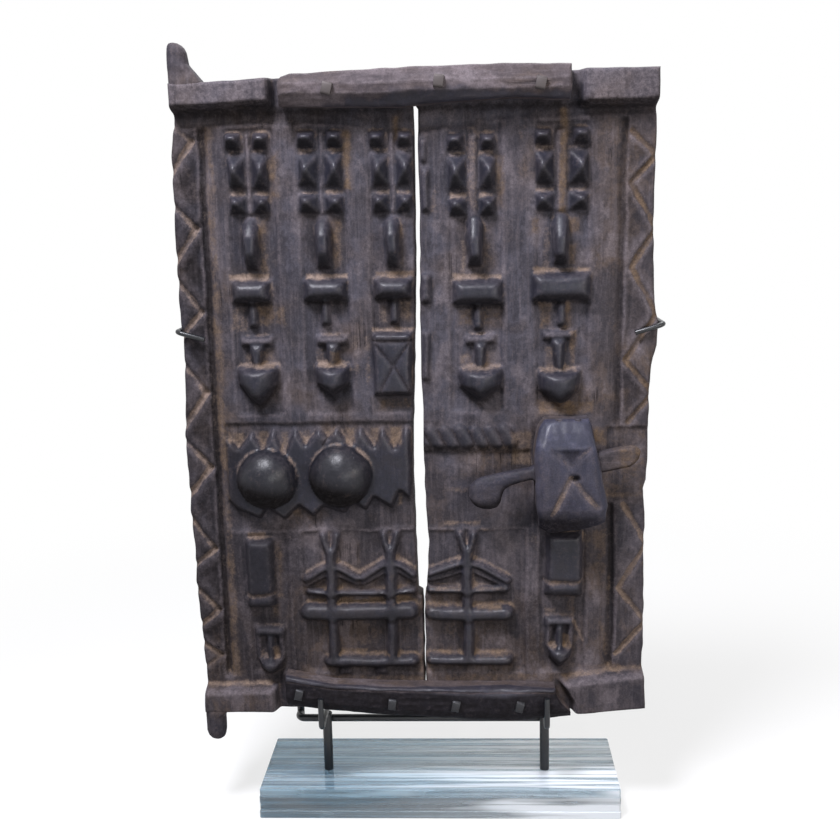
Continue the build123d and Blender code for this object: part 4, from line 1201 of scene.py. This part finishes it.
def rod_tree():
    """A round rod that follows its edges, with bends of one radius and closed ends."""
    tree = Growth("granary_rod", Radius="Float", Bend="Float", Sides="Int")
    given = tree.given
    line = tree.add("GeometryNodeMeshToCurve", {"Mesh": given["Geometry"]})
    ring = tree.add("GeometryNodeCurvePrimitiveCircle",
                    {"Resolution": given["Sides"], "Radius": given["Radius"]})
    return tree.close(tree.add("GeometryNodeCurveToMesh", {
        "Curve": tree.fillet(line, given["Bend"], 10), "Profile Curve": ring, "Fill Caps": True}))


def staple_tree():
    """Forged staples at points: a bent square bar, each leaning a little its own way."""
    tree = Growth("granary_staple", Bar="Float", Width="Float", Height="Float", Legs="Float",
                  Lean="Float", Seed="Int")
    given = tree.given
    crown = tree.fillet(tree.rectangle(given["Legs"], given["Height"]), 0.0012, 3)
    section = tree.fillet(tree.rectangle(given["Bar"], given["Width"]), 0.0005, 2)
    bar = tree.add("GeometryNodeCurveToMesh", {"Curve": crown, "Profile Curve": section})
    stood = tree.add("GeometryNodeTransform", {
        "Geometry": tree.beaten(bar, 380.0, 0.0014), "Rotation": (pi / 2, 0.0, pi / 2)})
    lean = tree.chance(tree.times(given["Lean"], -1.0), given["Lean"])
    return tree.close(tree.scatter(stood, lean))


def lump_tree(name, subdivisions):
    """Beaten lumps at points: nail heads or weld beads, each of its own size and turn."""
    tree = Growth(name, Radius="Float", Flatten="Float", Uneven="Float", Seed="Int")
    given = tree.given
    ball = tree.add("GeometryNodeMeshIcoSphere",
                    {"Radius": given["Radius"], "Subdivisions": subdivisions})
    squash = tree.add("ShaderNodeCombineXYZ", {0: 1.0, 1: given["Flatten"], 2: 1.0})
    flat = tree.add("GeometryNodeTransform", {
        "Geometry": tree.beaten(ball, 300.0, given["Uneven"]), "Scale": squash})
    return tree.close(tree.scatter(flat, tree.chance(-1.5, 1.5), Scale=tree.chance(0.85, 1.15)))


# ---------------------------------------------------------------- pieces
LEFT_EDGE = [(-234, 4), (-233, 21), (-233, 42), (-235, 67), (-236, 94), (-239, 143), (-238, 175),
             (-240, 221), (-240, 275), (-241, 299), (-238, 350), (-237, 397), (-239, 436),
             (-239, 479), (-238, 559), (-238, 584), (-233.5, 619), (-233.5, 646)]
LEFT_SLIT = [(-0.5, 1), (-0.5, 124), (-5.5, 127), (-7, 195), (-8, 270), (-6, 325), (-4, 375),
             (-2, 428), (0, 524), (0, 619), (-0.5, 622), (-0.5, 652)]
RIGHT_SLIT = [(0.5, 1), (0.5, 124), (2.5, 127), (6, 185), (3, 242), (3, 325), (2, 357), (2, 428),
              (4, 523), (3, 579), (4, 619), (0.5, 623), (0.5, 652)]
RIGHT_EDGE = [(229, 5), (227, 37), (228, 79), (228, 137), (227, 165), (228, 194), (226, 235),
              (229, 244), (230, 268), (230, 318), (231, 354), (233, 372), (237, 384), (238, 407),
              (234, 428), (232, 470), (232, 535), (233, 585), (233, 650)]
LEFT_PLANK = (LEFT_EDGE, LEFT_SLIT, [(-236, 4), (-205, 4), (-140, 3), (0, 1)],
              [(-236, 646), (-200, 646), (-120, 650), (0, 652)])
RIGHT_PLANK = (RIGHT_SLIT, RIGHT_EDGE, [(0, 1), (150, 0), (229, 8)],
               [(0, 652), (150, 650), (234, 650)])
LEFT_RAILS = ([(-250, 619), (-135, 622), (-135, 665), (-250, 665)],
              [(-250, -12), (-155, -12), (-156, 32), (-250, 30)])
RIGHT_RAILS = ([(159, 615), (250, 617), (250, 668), (159, 668)],
               [(155, -15), (250, -15), (250, 49), (227, 48), (169, 42), (139, 37), (152, 12)])
UPPER_BATTEN = ([(-127, 618), (-127, 656)], [(150, 618), (150, 656)],
                [(-127, 621), (-11, 618), (23, 621), (101, 624), (150, 621)],
                [(-127, 642), (-124, 648), (-115, 651), (-60, 653), (0, 655), (89, 656),
                 (150, 654)])
LOWER_BATTEN = ([(-146, -7), (-145, 48)], [(152, -7), (152, 2), (137, 33), (136, 48)],
                [(-146, 13), (-109, 8), (-62, 3), (-5, 0), (50, -4), (80, -7), (118, -4), (152, 0)],
                [(-146, 48.5), (-139, 47), (-94, 38), (-28, 35), (106, 34), (136, 33), (152, 30)])
LOCK_CASE = ([(118, 201), (118, 207), (114, 230), (113, 285), (115, 302), (118, 312), (123, 317)],
             [(184, 201), (184, 213), (186, 221), (178, 270), (171, 312), (168, 317)],
             [(112, 212), (118, 207), (128, 201), (160, 204), (184, 213), (188, 218)],
             [(112, 306), (118, 313), (125, 317), (167, 317), (172, 314)])
# each pivot pin: height over the root, middle x and y, half width and half depth, squareness
UPPER_PIN = ((-9, -216.8, -0.8, 16.4, 14.6, 4.5), (0, -216.8, -0.8, 16.4, 14.6, 4.5),
             (5, -218.8, -1.8, 14.6, 13.4, 4.0), (10, -220.6, -3.2, 13.0, 12, 3.2),
             (14, -222.3, -4.6, 11.4, 10.9, 2.8), (17, -223.4, -5, 10.4, 10.4, 2.4),
             (28, -224.4, -5, 9.4, 9.8, 2.2), (32, -225.2, -5, 8.4, 9, 2.1),
             (34.6, -226.1, -5, 7.0, 7.4, 2), (36.6, -227.2, -5, 4.6, 4.8, 2),
             (37.4, -227.8, -5, 2, 2, 2))
LOWER_PIN = ((-4, -221, -4.2, 12, 11.2, 4.2), (3, -221.2, -4.4, 11.8, 11.2, 3.8),
             (7, -222.6, -4.8, 10.9, 10.8, 3.0), (9.5, -223.4, -5, 10.4, 10.4, 2.3),
             (26, -223.4, -5, 10.2, 10.2, 2.1), (31, -223.2, -5, 9, 9, 2.1),
             (33.8, -222.8, -5, 7.2, 7.2, 2), (35.6, -222.4, -5, 4.4, 4.4, 2),
             (36.4, -222.2, -5, 2, 2, 2))
# the bolt's lower and upper line along it, in its own mm
BOLT_LOW = [(-103, -8.5), (-101.5, -14), (-98, -19.5), (-92, -23.3), (-84, -25.3), (-78, -24.4),
            (-73.5, -20.5), (-70.5, -13.5), (-67, -8), (-60, -5.2), (-50, -3.9), (-38, -3.2),
            (-34, -9.6), (-32, -10), (58, -10), (64, -8), (69, -4.6), (71.5, 1), (72, 3)]
BOLT_HIGH = [(-103, -8.5), (-102.2, -2), (-99.5, 3), (-94, 7), (-87, 9.2), (-70, 9.5),
             (-57, 9.5), (-38, 8.7), (-34, 9.8), (-32, 10), (62, 10), (66, 9.4), (69, 7.8),
             (71.5, 5), (72, 3)]


def carve_plank(relief, carve, rails):
    """Carve one plank's face with its rails, and find its wear, with painted light on the upper
    rails.
    """
    settings = bpy.context.scene.granary_carving
    relief.height -= 0.8 * (1 + relief.noise(60, 90, 50)) / 2
    carve(relief)
    for outline in rails:
        relief.slab(outline, 15.9, 3.6, polish=0.18, low=-1)
    relief.soften(2)
    relief.cut_moat(settings.moat * 1000)
    relief.tool_marks(settings.tool_marks * 1000)
    # painted light: the upper rails take the pale worn colour, as if lit from above
    rail_light = ease(relief.height, 11, 14.5) * (relief.polish < 0.35) * ease(relief.true_z, 560, 620)
    return np.maximum(relief.wear(), rail_light)


class GRANARY_OT_carved_planks(bpy.types.Operator):
    """Carve the two planks, each with its rails, columns, borders and rough back"""

    bl_idname = "granary.carved_planks"
    bl_label = "Carved planks"

    def execute(self, context):
        settings = context.scene.granary_carving
        for side, edges, carve, rails in (("left", LEFT_PLANK, carve_left_face, LEFT_RAILS),
                                          ("right", RIGHT_PLANK, carve_right_face, RIGHT_RAILS)):
            plank = board("carved_plank_" + side, edges,
                          lambda relief: carve_plank(relief, carve, rails), PLANK_T,
                          settings.edge_round * 1000, back_marks=1.8)
            dress(plank, "carved_hardwood", [side + "_plank"])
        return {"FINISHED"}


class GRANARY_OT_pintles(bpy.types.Operator):
    """Shape the two pivot pins that grow out of the hinge-side plank"""

    bl_idname = "granary.pintles"
    bl_label = "Pivot pins"

    def execute(self, context):
        seed = context.scene.granary_carving.seed
        around = 44
        for name, profile, foot, way in (("pintle_upper", UPPER_PIN, 646, 1),
                                         ("pintle_lower", LOWER_PIN, 8, -1)):
            knots, *columns = zip(*profile)
            levels = np.unique(np.append(np.linspace(knots[0], knots[-1], 44), knots[-3:]))
            rings = []
            for level in levels:
                mx, my, hx, hy, power = (np.interp(level, knots, column) for column in columns)
                ring = squared_ring(mx, my, hx, hy, foot + way * level, power, around)
                shave = 0.5 * hand_noise(ring[:, 0] * 2, ring[:, 2] + ring[:, 1], 9, 14, seed + 60)
                ring[:, 0] += shave * np.sign(mx - ring[:, 0]) * 0.6
                rings.append(ring)
            count = len(rings) * around + 2
            rise = np.repeat(ease(levels, 2, 12), around)
            layers = {"dust": np.full(count, 0.05), "polish": np.append(0.35 * rise, (0, 0.2)),
                      "warm": np.full(count, 0.3), "wear": np.full(count, 0.12),
                      "soot": np.zeros(count)}
            dress(ring_loft(name, rings, layers), "carved_hardwood", ["left_plank"])
        return {"FINISHED"}


def hew_batten(relief, heights, levels, dusty, dark):
    """Facets along a batten that is dark below a ragged line and dusty above it."""
    relief.height += np.interp(relief.z, levels, heights)
    relief.height += 0.9 * relief.noise(42, 16, 71)
    relief.height -= 1.0 * np.abs(relief.noise(17, 7, 72))
    relief.height -= 0.25 * np.abs(relief.noise(24, 2.2, 73))
    ragged = 4 * relief.ragged + 3 * relief.noise(34, 9, 75)
    relief.polish += dark * ease(relief.z + ragged, dusty + 5, dusty - 6)
    relief.warm += 0.3
    return np.clip((relief.height - spread(relief.height, 3)) * 3, 0, 0.8)


def hew_upper_batten(relief):
    dusty = z_at([(-127, 612), (-92, 618), (-60, 628), (0, 634), (60, 635), (110, 631),
                  (150, 627)], relief.x)
    return hew_batten(relief, (17, 20, 27, 27, 22, 19), (617, 621, 632, 641, 651, 657), dusty, 0.7)


def hew_lower_batten(relief):
    wear = hew_batten(relief, (0, 0), (-10, 50), 70, 0.9)
    sag = z_at([(-146, 13), (-109, 8), (-62, 3), (-5, 0), (80, -6), (152, 1)], relief.x)
    lift = relief.z - sag
    relief.height += np.interp(lift, [0, 5, 12, 29, 34, 38, 41], [15, 20, 23, 23.5, 22, 18, 13])
    relief.vee([(-143, 42), (-94, 34), (-28, 31), (60, 29), (136, 28)], 2.6, 0.9, dust=0.0)
    # painted shade over the lower batten below its top edge
    relief.soot += 0.85 * ease(lift, 34, 28)
    return wear


class GRANARY_OT_battens(bpy.types.Operator):
    """Hew the upper and the lower batten"""

    bl_idname = "granary.battens"
    bl_label = "Battens"

    def execute(self, context):
        for name, edges, hew, round_edge, node in (
                ("upper_batten", UPPER_BATTEN, hew_upper_batten, 2.6, "top_batten"),
                ("lower_batten", LOWER_BATTEN, hew_lower_batten, 2.4, "bottom_batten")):
            batten = board(name, edges, hew, -0.5, round_edge, wall_marks=0.3)
            dress(batten, "batten_hardwood", [node])
        return {"FINISHED"}


class GRANARY_OT_staples(bpy.types.Operator):
    """Forge the staples of both battens"""

    bl_idname = "granary.staples"
    bl_label = "Staples"

    def execute(self, context):
        tree = staple_tree()
        for name, places, leg_y, width, material, node in (
                ("staples_top", ((-79.5, 636), (25.5, 640), (120.5, 636)), -14.4, 0.0095,
                 "forged_iron", "top_staples"),
                ("staples_bottom", ((-131, 29), (-34, 18), (32, 16), (98, 15)), -10.4, 0.008,
                 "sooted_iron", "bottom_staples")):
            staples = grow(name, [(x, leg_y, z) for x, z in places], tree, Bar=0.0028,
                           Width=width, Height=0.0092, Legs=0.030, Lean=0.3, Seed=3,
                           Material=named_material(material))
            dress(staples, material, [node], sharp=40)
        return {"FINISHED"}


def on_bolt(s, y, t):
    """Points along and across the bolt, in mm, as door points."""
    c, n = cos(BOLT_SLOPE), sin(BOLT_SLOPE)
    s, y, t = np.broadcast_arrays(np.asarray(s, float), y, t)
    return np.stack((BOLT_ORIGIN[0] + c * s - n * t, y, BOLT_ORIGIN[1] + n * s + c * t), -1)


def bolt_round(name, s, low, high, radius):
    """A round cutter square to the bolt."""
    turn = turns(28)
    y = BOLT_MID_Y + radius * np.sin(turn)
    return ring_loft(name, [on_bolt(s + radius * np.cos(turn), y, t) for t in (low, high)])


def carve_lock_case(relief):
    """The case's tapered front with its hourglass and its small round hole, with painted shade at
    its foot, in its V recess and in the hole.
    """
    x, z = relief.x, relief.z
    relief.height += np.interp(z, [196, 204, 222, 228, 282, 290, 306, 317],
                               [25, 28, 39, 41.6, 41.2, 40.4, 33, 25])
    relief.height -= 4 * (1 - ease(x - x_at([(118, 207), (113, 285), (123, 317)], z), 0, 8))
    relief.height -= 4 * (1 - ease(x_at([(184, 207), (186, 221), (171, 312)], z) - x, 0, 8))
    relief.polish += 0.5 + 0.35 * ease(z, 284, 292)
    # painted shade on the down-facing foot of the case and low on its left side
    relief.soot += 0.6 * ease(z, 226, 216) + 0.3 * ease(z, 262, 235) * (1 - ease(x, 150, 182))
    upper = [(132, 290), (148.5, 273), (165, 290)]
    where = relief.around(upper, 3)
    recess = ease(relief.inside(upper, where), -0.5, 4.0)
    relief.height[where] -= 2.4 * recess
    relief.deepen("soot", where, 0.7 * recess)
    repeat(relief.vee, (([(130, 290), (148, 272)], 4.5, 1.8, 0.2),
                        ([(167, 291), (149, 272)], 4.5, 1.8, 0.2),
                        ([(131, 224), (149, 261)], 6.5, 3.0, 0.5),
                        ([(175, 231), (153, 257)], 6.5, 3.0, 0.5)))
    hole = np.hypot((x - 153) / 4.2, (z - 260.5) / 2.6)
    relief.height -= 4.5 * (1 - ease(hole, 0.5, 1.2))
    relief.deepen("soot", ..., 1 - ease(hole, 0.8, 1.5))
    relief.height -= 0.5 * np.abs(relief.noise(10, 17, 81))
    relief.warm += 0.1
    relief.soften(4)
    return np.clip(np.maximum(relief.height - spread(relief.height, 4), 0) / 0.3, 0, 0.5)


class GRANARY_OT_lock_case(bpy.types.Operator):
    """Carve the lock case, with the sloping passage of the bolt and the tumbler shafts"""

    bl_idname = "granary.lock_case"
    bl_label = "Lock case"

    def execute(self, context):
        case = board("carved_lock_case", LOCK_CASE, carve_lock_case, -0.3, 3.6, wall_marks=0.4,
                     pitch=CASE_PITCH)
        corners = [on_bolt(s, y, t) for s in (-80, 80) for y in (BOLT_Y[1] - 0.5, BOLT_Y[0] + 0.5)
                   for t in (-10.5, 10.5)]
        faces = [[0, 1, 3, 2], [4, 6, 7, 5], [0, 4, 5, 1], [2, 3, 7, 6], [0, 2, 6, 4], [1, 5, 7, 3]]
        cut_away(case, make_piece("passage", in_row(corners), faces))
        for s in (0.0, 18.0):
            cut_away(case, bolt_round("shaft", s, 0, 70, 3.4))
        dress(case, "lock_hardwood", ["lock_case"], sharp=50)
        dress_node("shaft_plugs", "lock_hardwood")
        return {"FINISHED"}


class GRANARY_OT_lock_bolt(bpy.types.Operator):
    """Carve the bolt with its hooked grip and rounded nose"""

    bl_idname = "granary.lock_bolt"
    bl_label = "Lock bolt"

    def execute(self, context):
        seed = context.scene.granary_carving.seed
        stops = np.unique(np.concatenate((np.linspace(-102.9, -66, 32), np.linspace(-66, -30, 20),
                                          np.linspace(-30, 58, 22), np.linspace(58, 71.9, 16))))
        count = 40
        sines, cosines = np.sin(turns(count)), np.cos(turns(count))
        rings, dust, soot = [], [], []
        for s in stops:
            t0, t1 = z_at(BOLT_LOW, s), z_at(BOLT_HIGH, s)
            end = min(ease(s, -103, -96), 1 - 0.75 * ease(s, 62, 72.5))
            half_y = 8 * (0.35 + 0.65 * end)
            power = np.interp(s, [-100, -60, -34, -30, 56, 70], [2.1, 2.2, 3.0, 6, 6, 2.2])
            t = (t0 + t1) / 2 + (t1 - t0) / 2 * squared(sines, power)
            y = BOLT_MID_Y - half_y * squared(cosines, power)
            if s < -36 or s > 34:
                shave = 0.35 * hand_noise(np.full(count, s), t * 2 + y, 13, 9, seed + 90)
                y = y + shave * np.sign(BOLT_MID_Y - y) * 0.7
            rings.append(on_bolt(s, y, t))
            dust.append(np.full(count, 0.45 * ease(s, 38, 56)))
            # painted shade along the lower side of the bolt
            soot.append(0.9 * ease(-sines, 0.15, 0.85))
        bare = np.repeat(ease(stops, 20, 40), count)
        layers = {"dust": np.append(dust, (0, 0.2)),
                  "warm": np.append(0.25 + 0.7 * bare, (0.3, 0.9)),
                  "polish": np.append(0.5 - 0.5 * bare, (0.5, 0)),
                  "wear": np.full(len(bare) + 2, 0.08), "soot": np.append(soot, (0, 0))}
        bolt = ring_loft("lock_bolt_grip", rings, layers)
        for s in (-26.0, -8.0):
            cut_away(bolt, bolt_round("tumbler_hole", s, 1, 15, 3.5))
        dress(bolt, "bolt_hardwood", ["lock_bolt"], body="bolt", sharp=50)
        return {"FINISHED"}


class GRANARY_OT_lock_fittings(bpy.types.Operator):
    """Finish the tumblers, and forge the nails that hold the lock case"""

    bl_idname = "granary.lock_fittings"
    bl_label = "Tumblers and nails"

    def execute(self, context):
        for node in ("tumbler_pin_1", "tumbler_pin_2", "lock_case_nails"):
            dress_node(node, "forged_iron")
        heads = grow("nail_heads", [(136, PLANK_T + 0.6, 303), (150, PLANK_T + 0.6, 221)],
                     lump_tree("granary_nail_head", 3), Radius=0.0064, Flatten=0.42,
                     Uneven=0.0034, Seed=5, Material=named_material("forged_iron"))
        dress(heads, "forged_iron", sharp=22)
        return {"FINISHED"}


class GRANARY_OT_glass_base(bpy.types.Operator):
    """Stack the bevelled glass plates of the base, and finish its screws"""

    bl_idname = "granary.glass_base"
    bl_label = "Glass base"

    def execute(self, context):
        clip, gap = 0.0015, 0.00006
        turn = turns(32)
        for index, inset in enumerate((0.0, 0.0006, 0.0003, 0.0008), 1):
            node = f"glass_plate_{index}"
            low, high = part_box(node)
            x, y = high.x - inset, high.y - inset
            outline = [(-x + clip, -y), (x - clip, -y), (x, -y + clip), (x, y - clip),
                       (x - clip, y), (-x + clip, y), (-x, y - clip), (-x, -y + clip)]
            mesh = bmesh.new()
            foot = [mesh.verts.new((a, b, low.z + gap)) for a, b in outline]
            raised = bmesh.ops.extrude_face_region(mesh, geom=[mesh.faces.new(foot[::-1])])
            for vertex in (v for v in raised["geom"] if isinstance(v, bmesh.types.BMVert)):
                vertex.co.z = high.z - gap
            bmesh.ops.recalc_face_normals(mesh, faces=mesh.faces)
            data = bpy.data.meshes.new(f"glass_{index}")
            mesh.to_mesh(data)
            mesh.free()
            plate = add_object(data.name, data)
            bevel_edges(plate, context.scene.granary_stand.glass_edge)
            radius = 9.0 if index == 1 else 3.2
            below, above = (z * 1000 - DOOR_PLACE[2] for z in (low.z, high.z))
            for post_x in POST_X:
                x, y = post_x + radius * np.cos(turn), POST_Y + radius * np.sin(turn)
                rings = [np.stack((x, y, turn * 0 + z), -1) for z in (below - 1, above + 1)]
                cut_away(plate, ring_loft("drill", rings))
            dress(plate, "plate_glass", [node])
        dress_node("base_screws", "zinc_plated_steel")
        return {"FINISHED"}


def bead_ring(centre, half_x, half_y, half_z):
    """Fourteen points round a weld, in a level ring where half_z is 0 or an upright one."""
    x, y, z = centre
    return [(x + half_x * cos(turn), y + half_y * sin(turn), z + half_z * sin(turn))
            for turn in turns(14)]


class GRANARY_OT_stand_rods(bpy.types.Operator):
    """Bend the painted rods of the stand and weld them"""

    bl_idname = "granary.stand_rods"
    bl_label = "Stand rods"

    def execute(self, context):
        stand = context.scene.granary_stand
        paint = named_material("satin_black_paint")
        (left, right), (back_left, back_right) = POST_X, UPRIGHT_X
        rods = (
            ("post_left", 5.0, 24, [(left, POST_Y, -75), (left, POST_Y, -10)]),
            ("post_right", 5.0, 24, [(right, POST_Y, -75), (right, POST_Y, -10)]),
            ("crossbar", 4.0, 20, [(back_left, UPRIGHT_Y - 3, BAR_Z), (back_left, BAR_Y, BAR_Z),
                                   (back_right, BAR_Y, BAR_Z), (back_right, UPRIGHT_Y - 3, BAR_Z)]),
            ("upright_left", 4.0, 20, [(back_left, UPRIGHT_Y, BAR_Z - 4),
                                       (back_left, UPRIGHT_Y, CLIP_Z)]),
            ("upright_right", 4.0, 20, [(back_right, UPRIGHT_Y, BAR_Z - 4),
                                        (back_right, UPRIGHT_Y, CLIP_Z)]),
            ("hook_left", 3.0, 18, [(left, POST_Y, -7), (left, -28, -7), (left, -28, 26)]),
            ("hook_right", 3.0, 18, [(right, POST_Y, -7), (right, -28, -7), (right, -28, 26)]),
            ("clip_left", 2.5, 16, [(back_left, 46.5, CLIP_Z), (-241.5, 46.5, CLIP_Z),
                                    (-241.5, -3, CLIP_Z), (-213.5, -3, 399)]),
            ("clip_right", 2.5, 16, [(back_right, 46.5, CLIP_Z), (242, 46.5, CLIP_Z),
                                     (242, -3, CLIP_Z), (214, -3, 399)]))
        tree = rod_tree()
        for node, radius, sides, route in rods:
            rod = grow("rod_" + node, route, tree, [(k, k + 1) for k in range(len(route) - 1)],
                       Radius=radius / 1000, Bend=stand.bend + radius / 2000,
                       Sides=sides, Material=paint)
            bevel_edges(rod, stand.rod_edge, 50)
            dress(rod, "satin_black_paint", [node], sharp=40)
        spots = []
        for x in POST_X:
            spots += bead_ring((x, POST_Y, -10.2), 4.6, 4.6, 0)
            spots += bead_ring((x, 21.2, BAR_Z), 3.2, 0, 3.2)
        for x in UPRIGHT_X:
            spots += bead_ring((x, 36.6, BAR_Z), 3.2, 0, 3.2)
            spots += bead_ring((x, 43.8, 406), 3.4, 0, 2.2)
        welds = grow("weld_beads", spots, lump_tree("granary_weld_bead", 2), Radius=stand.weld,
                     Flatten=0.8, Uneven=0.0006, Seed=11, Material=paint)
        dress(welds, "satin_black_paint", sharp=60)
        return {"FINISHED"}


# ---------------------------------------------------------------- stage
LAMPS = (  # name, place, aim, width, watts and colour
    ("key", (-0.42, -0.70, 1.78), (0, 0, 0.43), 0.5, 41.5, (0.92, 0.92, 1.0)),
    ("fill", (1.2, -1.2, 0.75), (0.1, 0, 0.4), 0.7, 9, (1.0, 0.93, 0.86)),
    ("spark", (0.44, -1.5, 0.47), (0, 0, 0.45), 0.14, 4, (1, 1, 1)),
    ("back", (0.5, 1.5, 2.3), (0, 0, 0.45), 0.9, 26, (1, 1, 1)))
CAMERA_PLACE = (0.03885, -1.1462, 0.63545)
PITCH, YAW, ROLL = 0.18941, 0.04615, -0.02167   # radians down, left and anticlockwise
SENSOR, LENS = 36.0, 36 * 1130 / 840            # mm, for a view of 840 by 840 pixels


def soft_room(scene):
    """A dim bluish room that looks white to the camera and in reflections."""
    scene.world = bpy.data.worlds.new("soft_room")
    scene.world.use_nodes = True
    room = Nodes(scene.world.node_tree)
    ambient = room.add("ShaderNodeBackground", {"Color": (0.88, 0.92, 1.0, 1), "Strength": 0.13})
    bright = room.add("ShaderNodeBackground", {"Color": (1, 1, 1, 1)})
    seen = room.rays("Camera", "Glossy", "Transmission")
    room.add("ShaderNodeOutputWorld", {0: room.add("ShaderNodeMixShader",
                                                   {0: seen, 1: ambient, 2: bright})})


def pale_floor(colour):
    """A pale floor that fades to white away from the stand."""
    floor = make_piece("floor", [(-4, -3, 0), (4, -3, 0), (4, 5, 0), (-4, 5, 0)], [[0, 1, 2, 3]])
    shade = Shade("pale_floor")
    base = shade.mix(shade.span(shade.noise(6.0, 3.0, 0.5), 0.3, 0.7), colour, toned(colour, 0.985))
    seen = shade.rays("Camera", "Glossy", "Transmission")
    base = shade.mix(seen, base, (0.9, 0.9, 0.9))
    lit = shade.surface(Base_Color=base, Roughness=0.8, Specular_IOR_Level=0.1)
    glow = shade.add("ShaderNodeEmission", {0: (1, 1, 1, 1), 1: 1.0})
    far = shade.add("ShaderNodeVectorMath", {0: shade.place}, 1, operation="LENGTH")
    share = shade.times(seen, shade.span(far, 0.3, 1.3, 0.7, 1.0))
    mixed = shade.add("ShaderNodeMixShader", {0: share, 1: lit, 2: glow})
    shade.add("ShaderNodeOutputMaterial", {0: mixed})
    floor.data.materials.append(shade.material)


class GRANARY_OT_stage(bpy.types.Operator):
    """Lay the pale floor, hang the soft lamps and set up the camera"""

    bl_idname = "granary.stage"
    bl_label = "Stage"

    def execute(self, context):
        scene = context.scene
        soft_room(scene)
        pale_floor(scene.granary_finish.floor)
        for name, place, aim, width, watts, tone in LAMPS:
            data = bpy.data.lights.new(name, "AREA")
            data.energy, data.color, data.shape, data.size = watts, tone, "DISK", width
            lamp = add_object(name, data)
            lamp.location = place
            lamp.rotation_euler = (Vector(aim) - Vector(place)).to_track_quat("-Z", "Y").to_euler()

        data = bpy.data.cameras.new("view")
        data.sensor_width, data.lens, data.clip_start = SENSOR, LENS, 0.05
        camera = add_object("view", data)
        ahead = Vector((-sin(YAW) * cos(PITCH), cos(YAW) * cos(PITCH), -sin(PITCH)))
        level = Vector((cos(YAW), sin(YAW), 0))
        above = level.cross(ahead)
        right = cos(ROLL) * level + sin(ROLL) * above
        up = -sin(ROLL) * level + cos(ROLL) * above
        turned = Matrix((right, up, -ahead)).transposed()
        camera.matrix_world = Matrix.Translation(CAMERA_PLACE) @ turned.to_4x4()
        scene.camera = camera
        scene.view_settings.view_transform = "Standard"
        return {"FINISHED"}


STEPS = (GRANARY_OT_carved_planks, GRANARY_OT_pintles, GRANARY_OT_battens, GRANARY_OT_staples,
         GRANARY_OT_lock_case, GRANARY_OT_lock_bolt, GRANARY_OT_lock_fittings,
         GRANARY_OT_glass_base, GRANARY_OT_stand_rods, GRANARY_OT_stage)


GROUPS = {"granary_carving": GranaryCarvingSettings, "granary_finish": GranaryFinishSettings,
          "granary_stand": GranaryStandSettings}


class GRANARY_PT_panel(bpy.types.Panel):
    """Lists the steps that build the door and the settings that they read"""

    bl_label = "Granary door"
    bl_idname = "GRANARY_PT_panel"
    bl_space_type = "VIEW_3D"
    bl_region_type = "UI"
    bl_category = "Granary"

    def draw(self, context):
        for step in STEPS:
            self.layout.operator(step.bl_idname)
        for key, group in GROUPS.items():
            box = self.layout.box()
            for name in group.__annotations__:
                box.prop(getattr(context.scene, key), name)


def register():
    for group in GROUPS.values():
        bpy.utils.register_class(group)
    for name, group in GROUPS.items():
        setattr(bpy.types.Scene, name, PointerProperty(type=group))
    for step in STEPS:
        bpy.utils.register_class(step)
    bpy.utils.register_class(GRANARY_PT_panel)


def unregister():
    bpy.utils.unregister_class(GRANARY_PT_panel)
    for step in reversed(STEPS):
        bpy.utils.unregister_class(step)
    for name, group in GROUPS.items():
        delattr(bpy.types.Scene, name)
        bpy.utils.unregister_class(group)


def main():
    register()
    for step in STEPS:
        family, name = step.bl_idname.split(".")
        getattr(getattr(bpy.ops, family), name)()


if __name__ == "__main__":
    main()
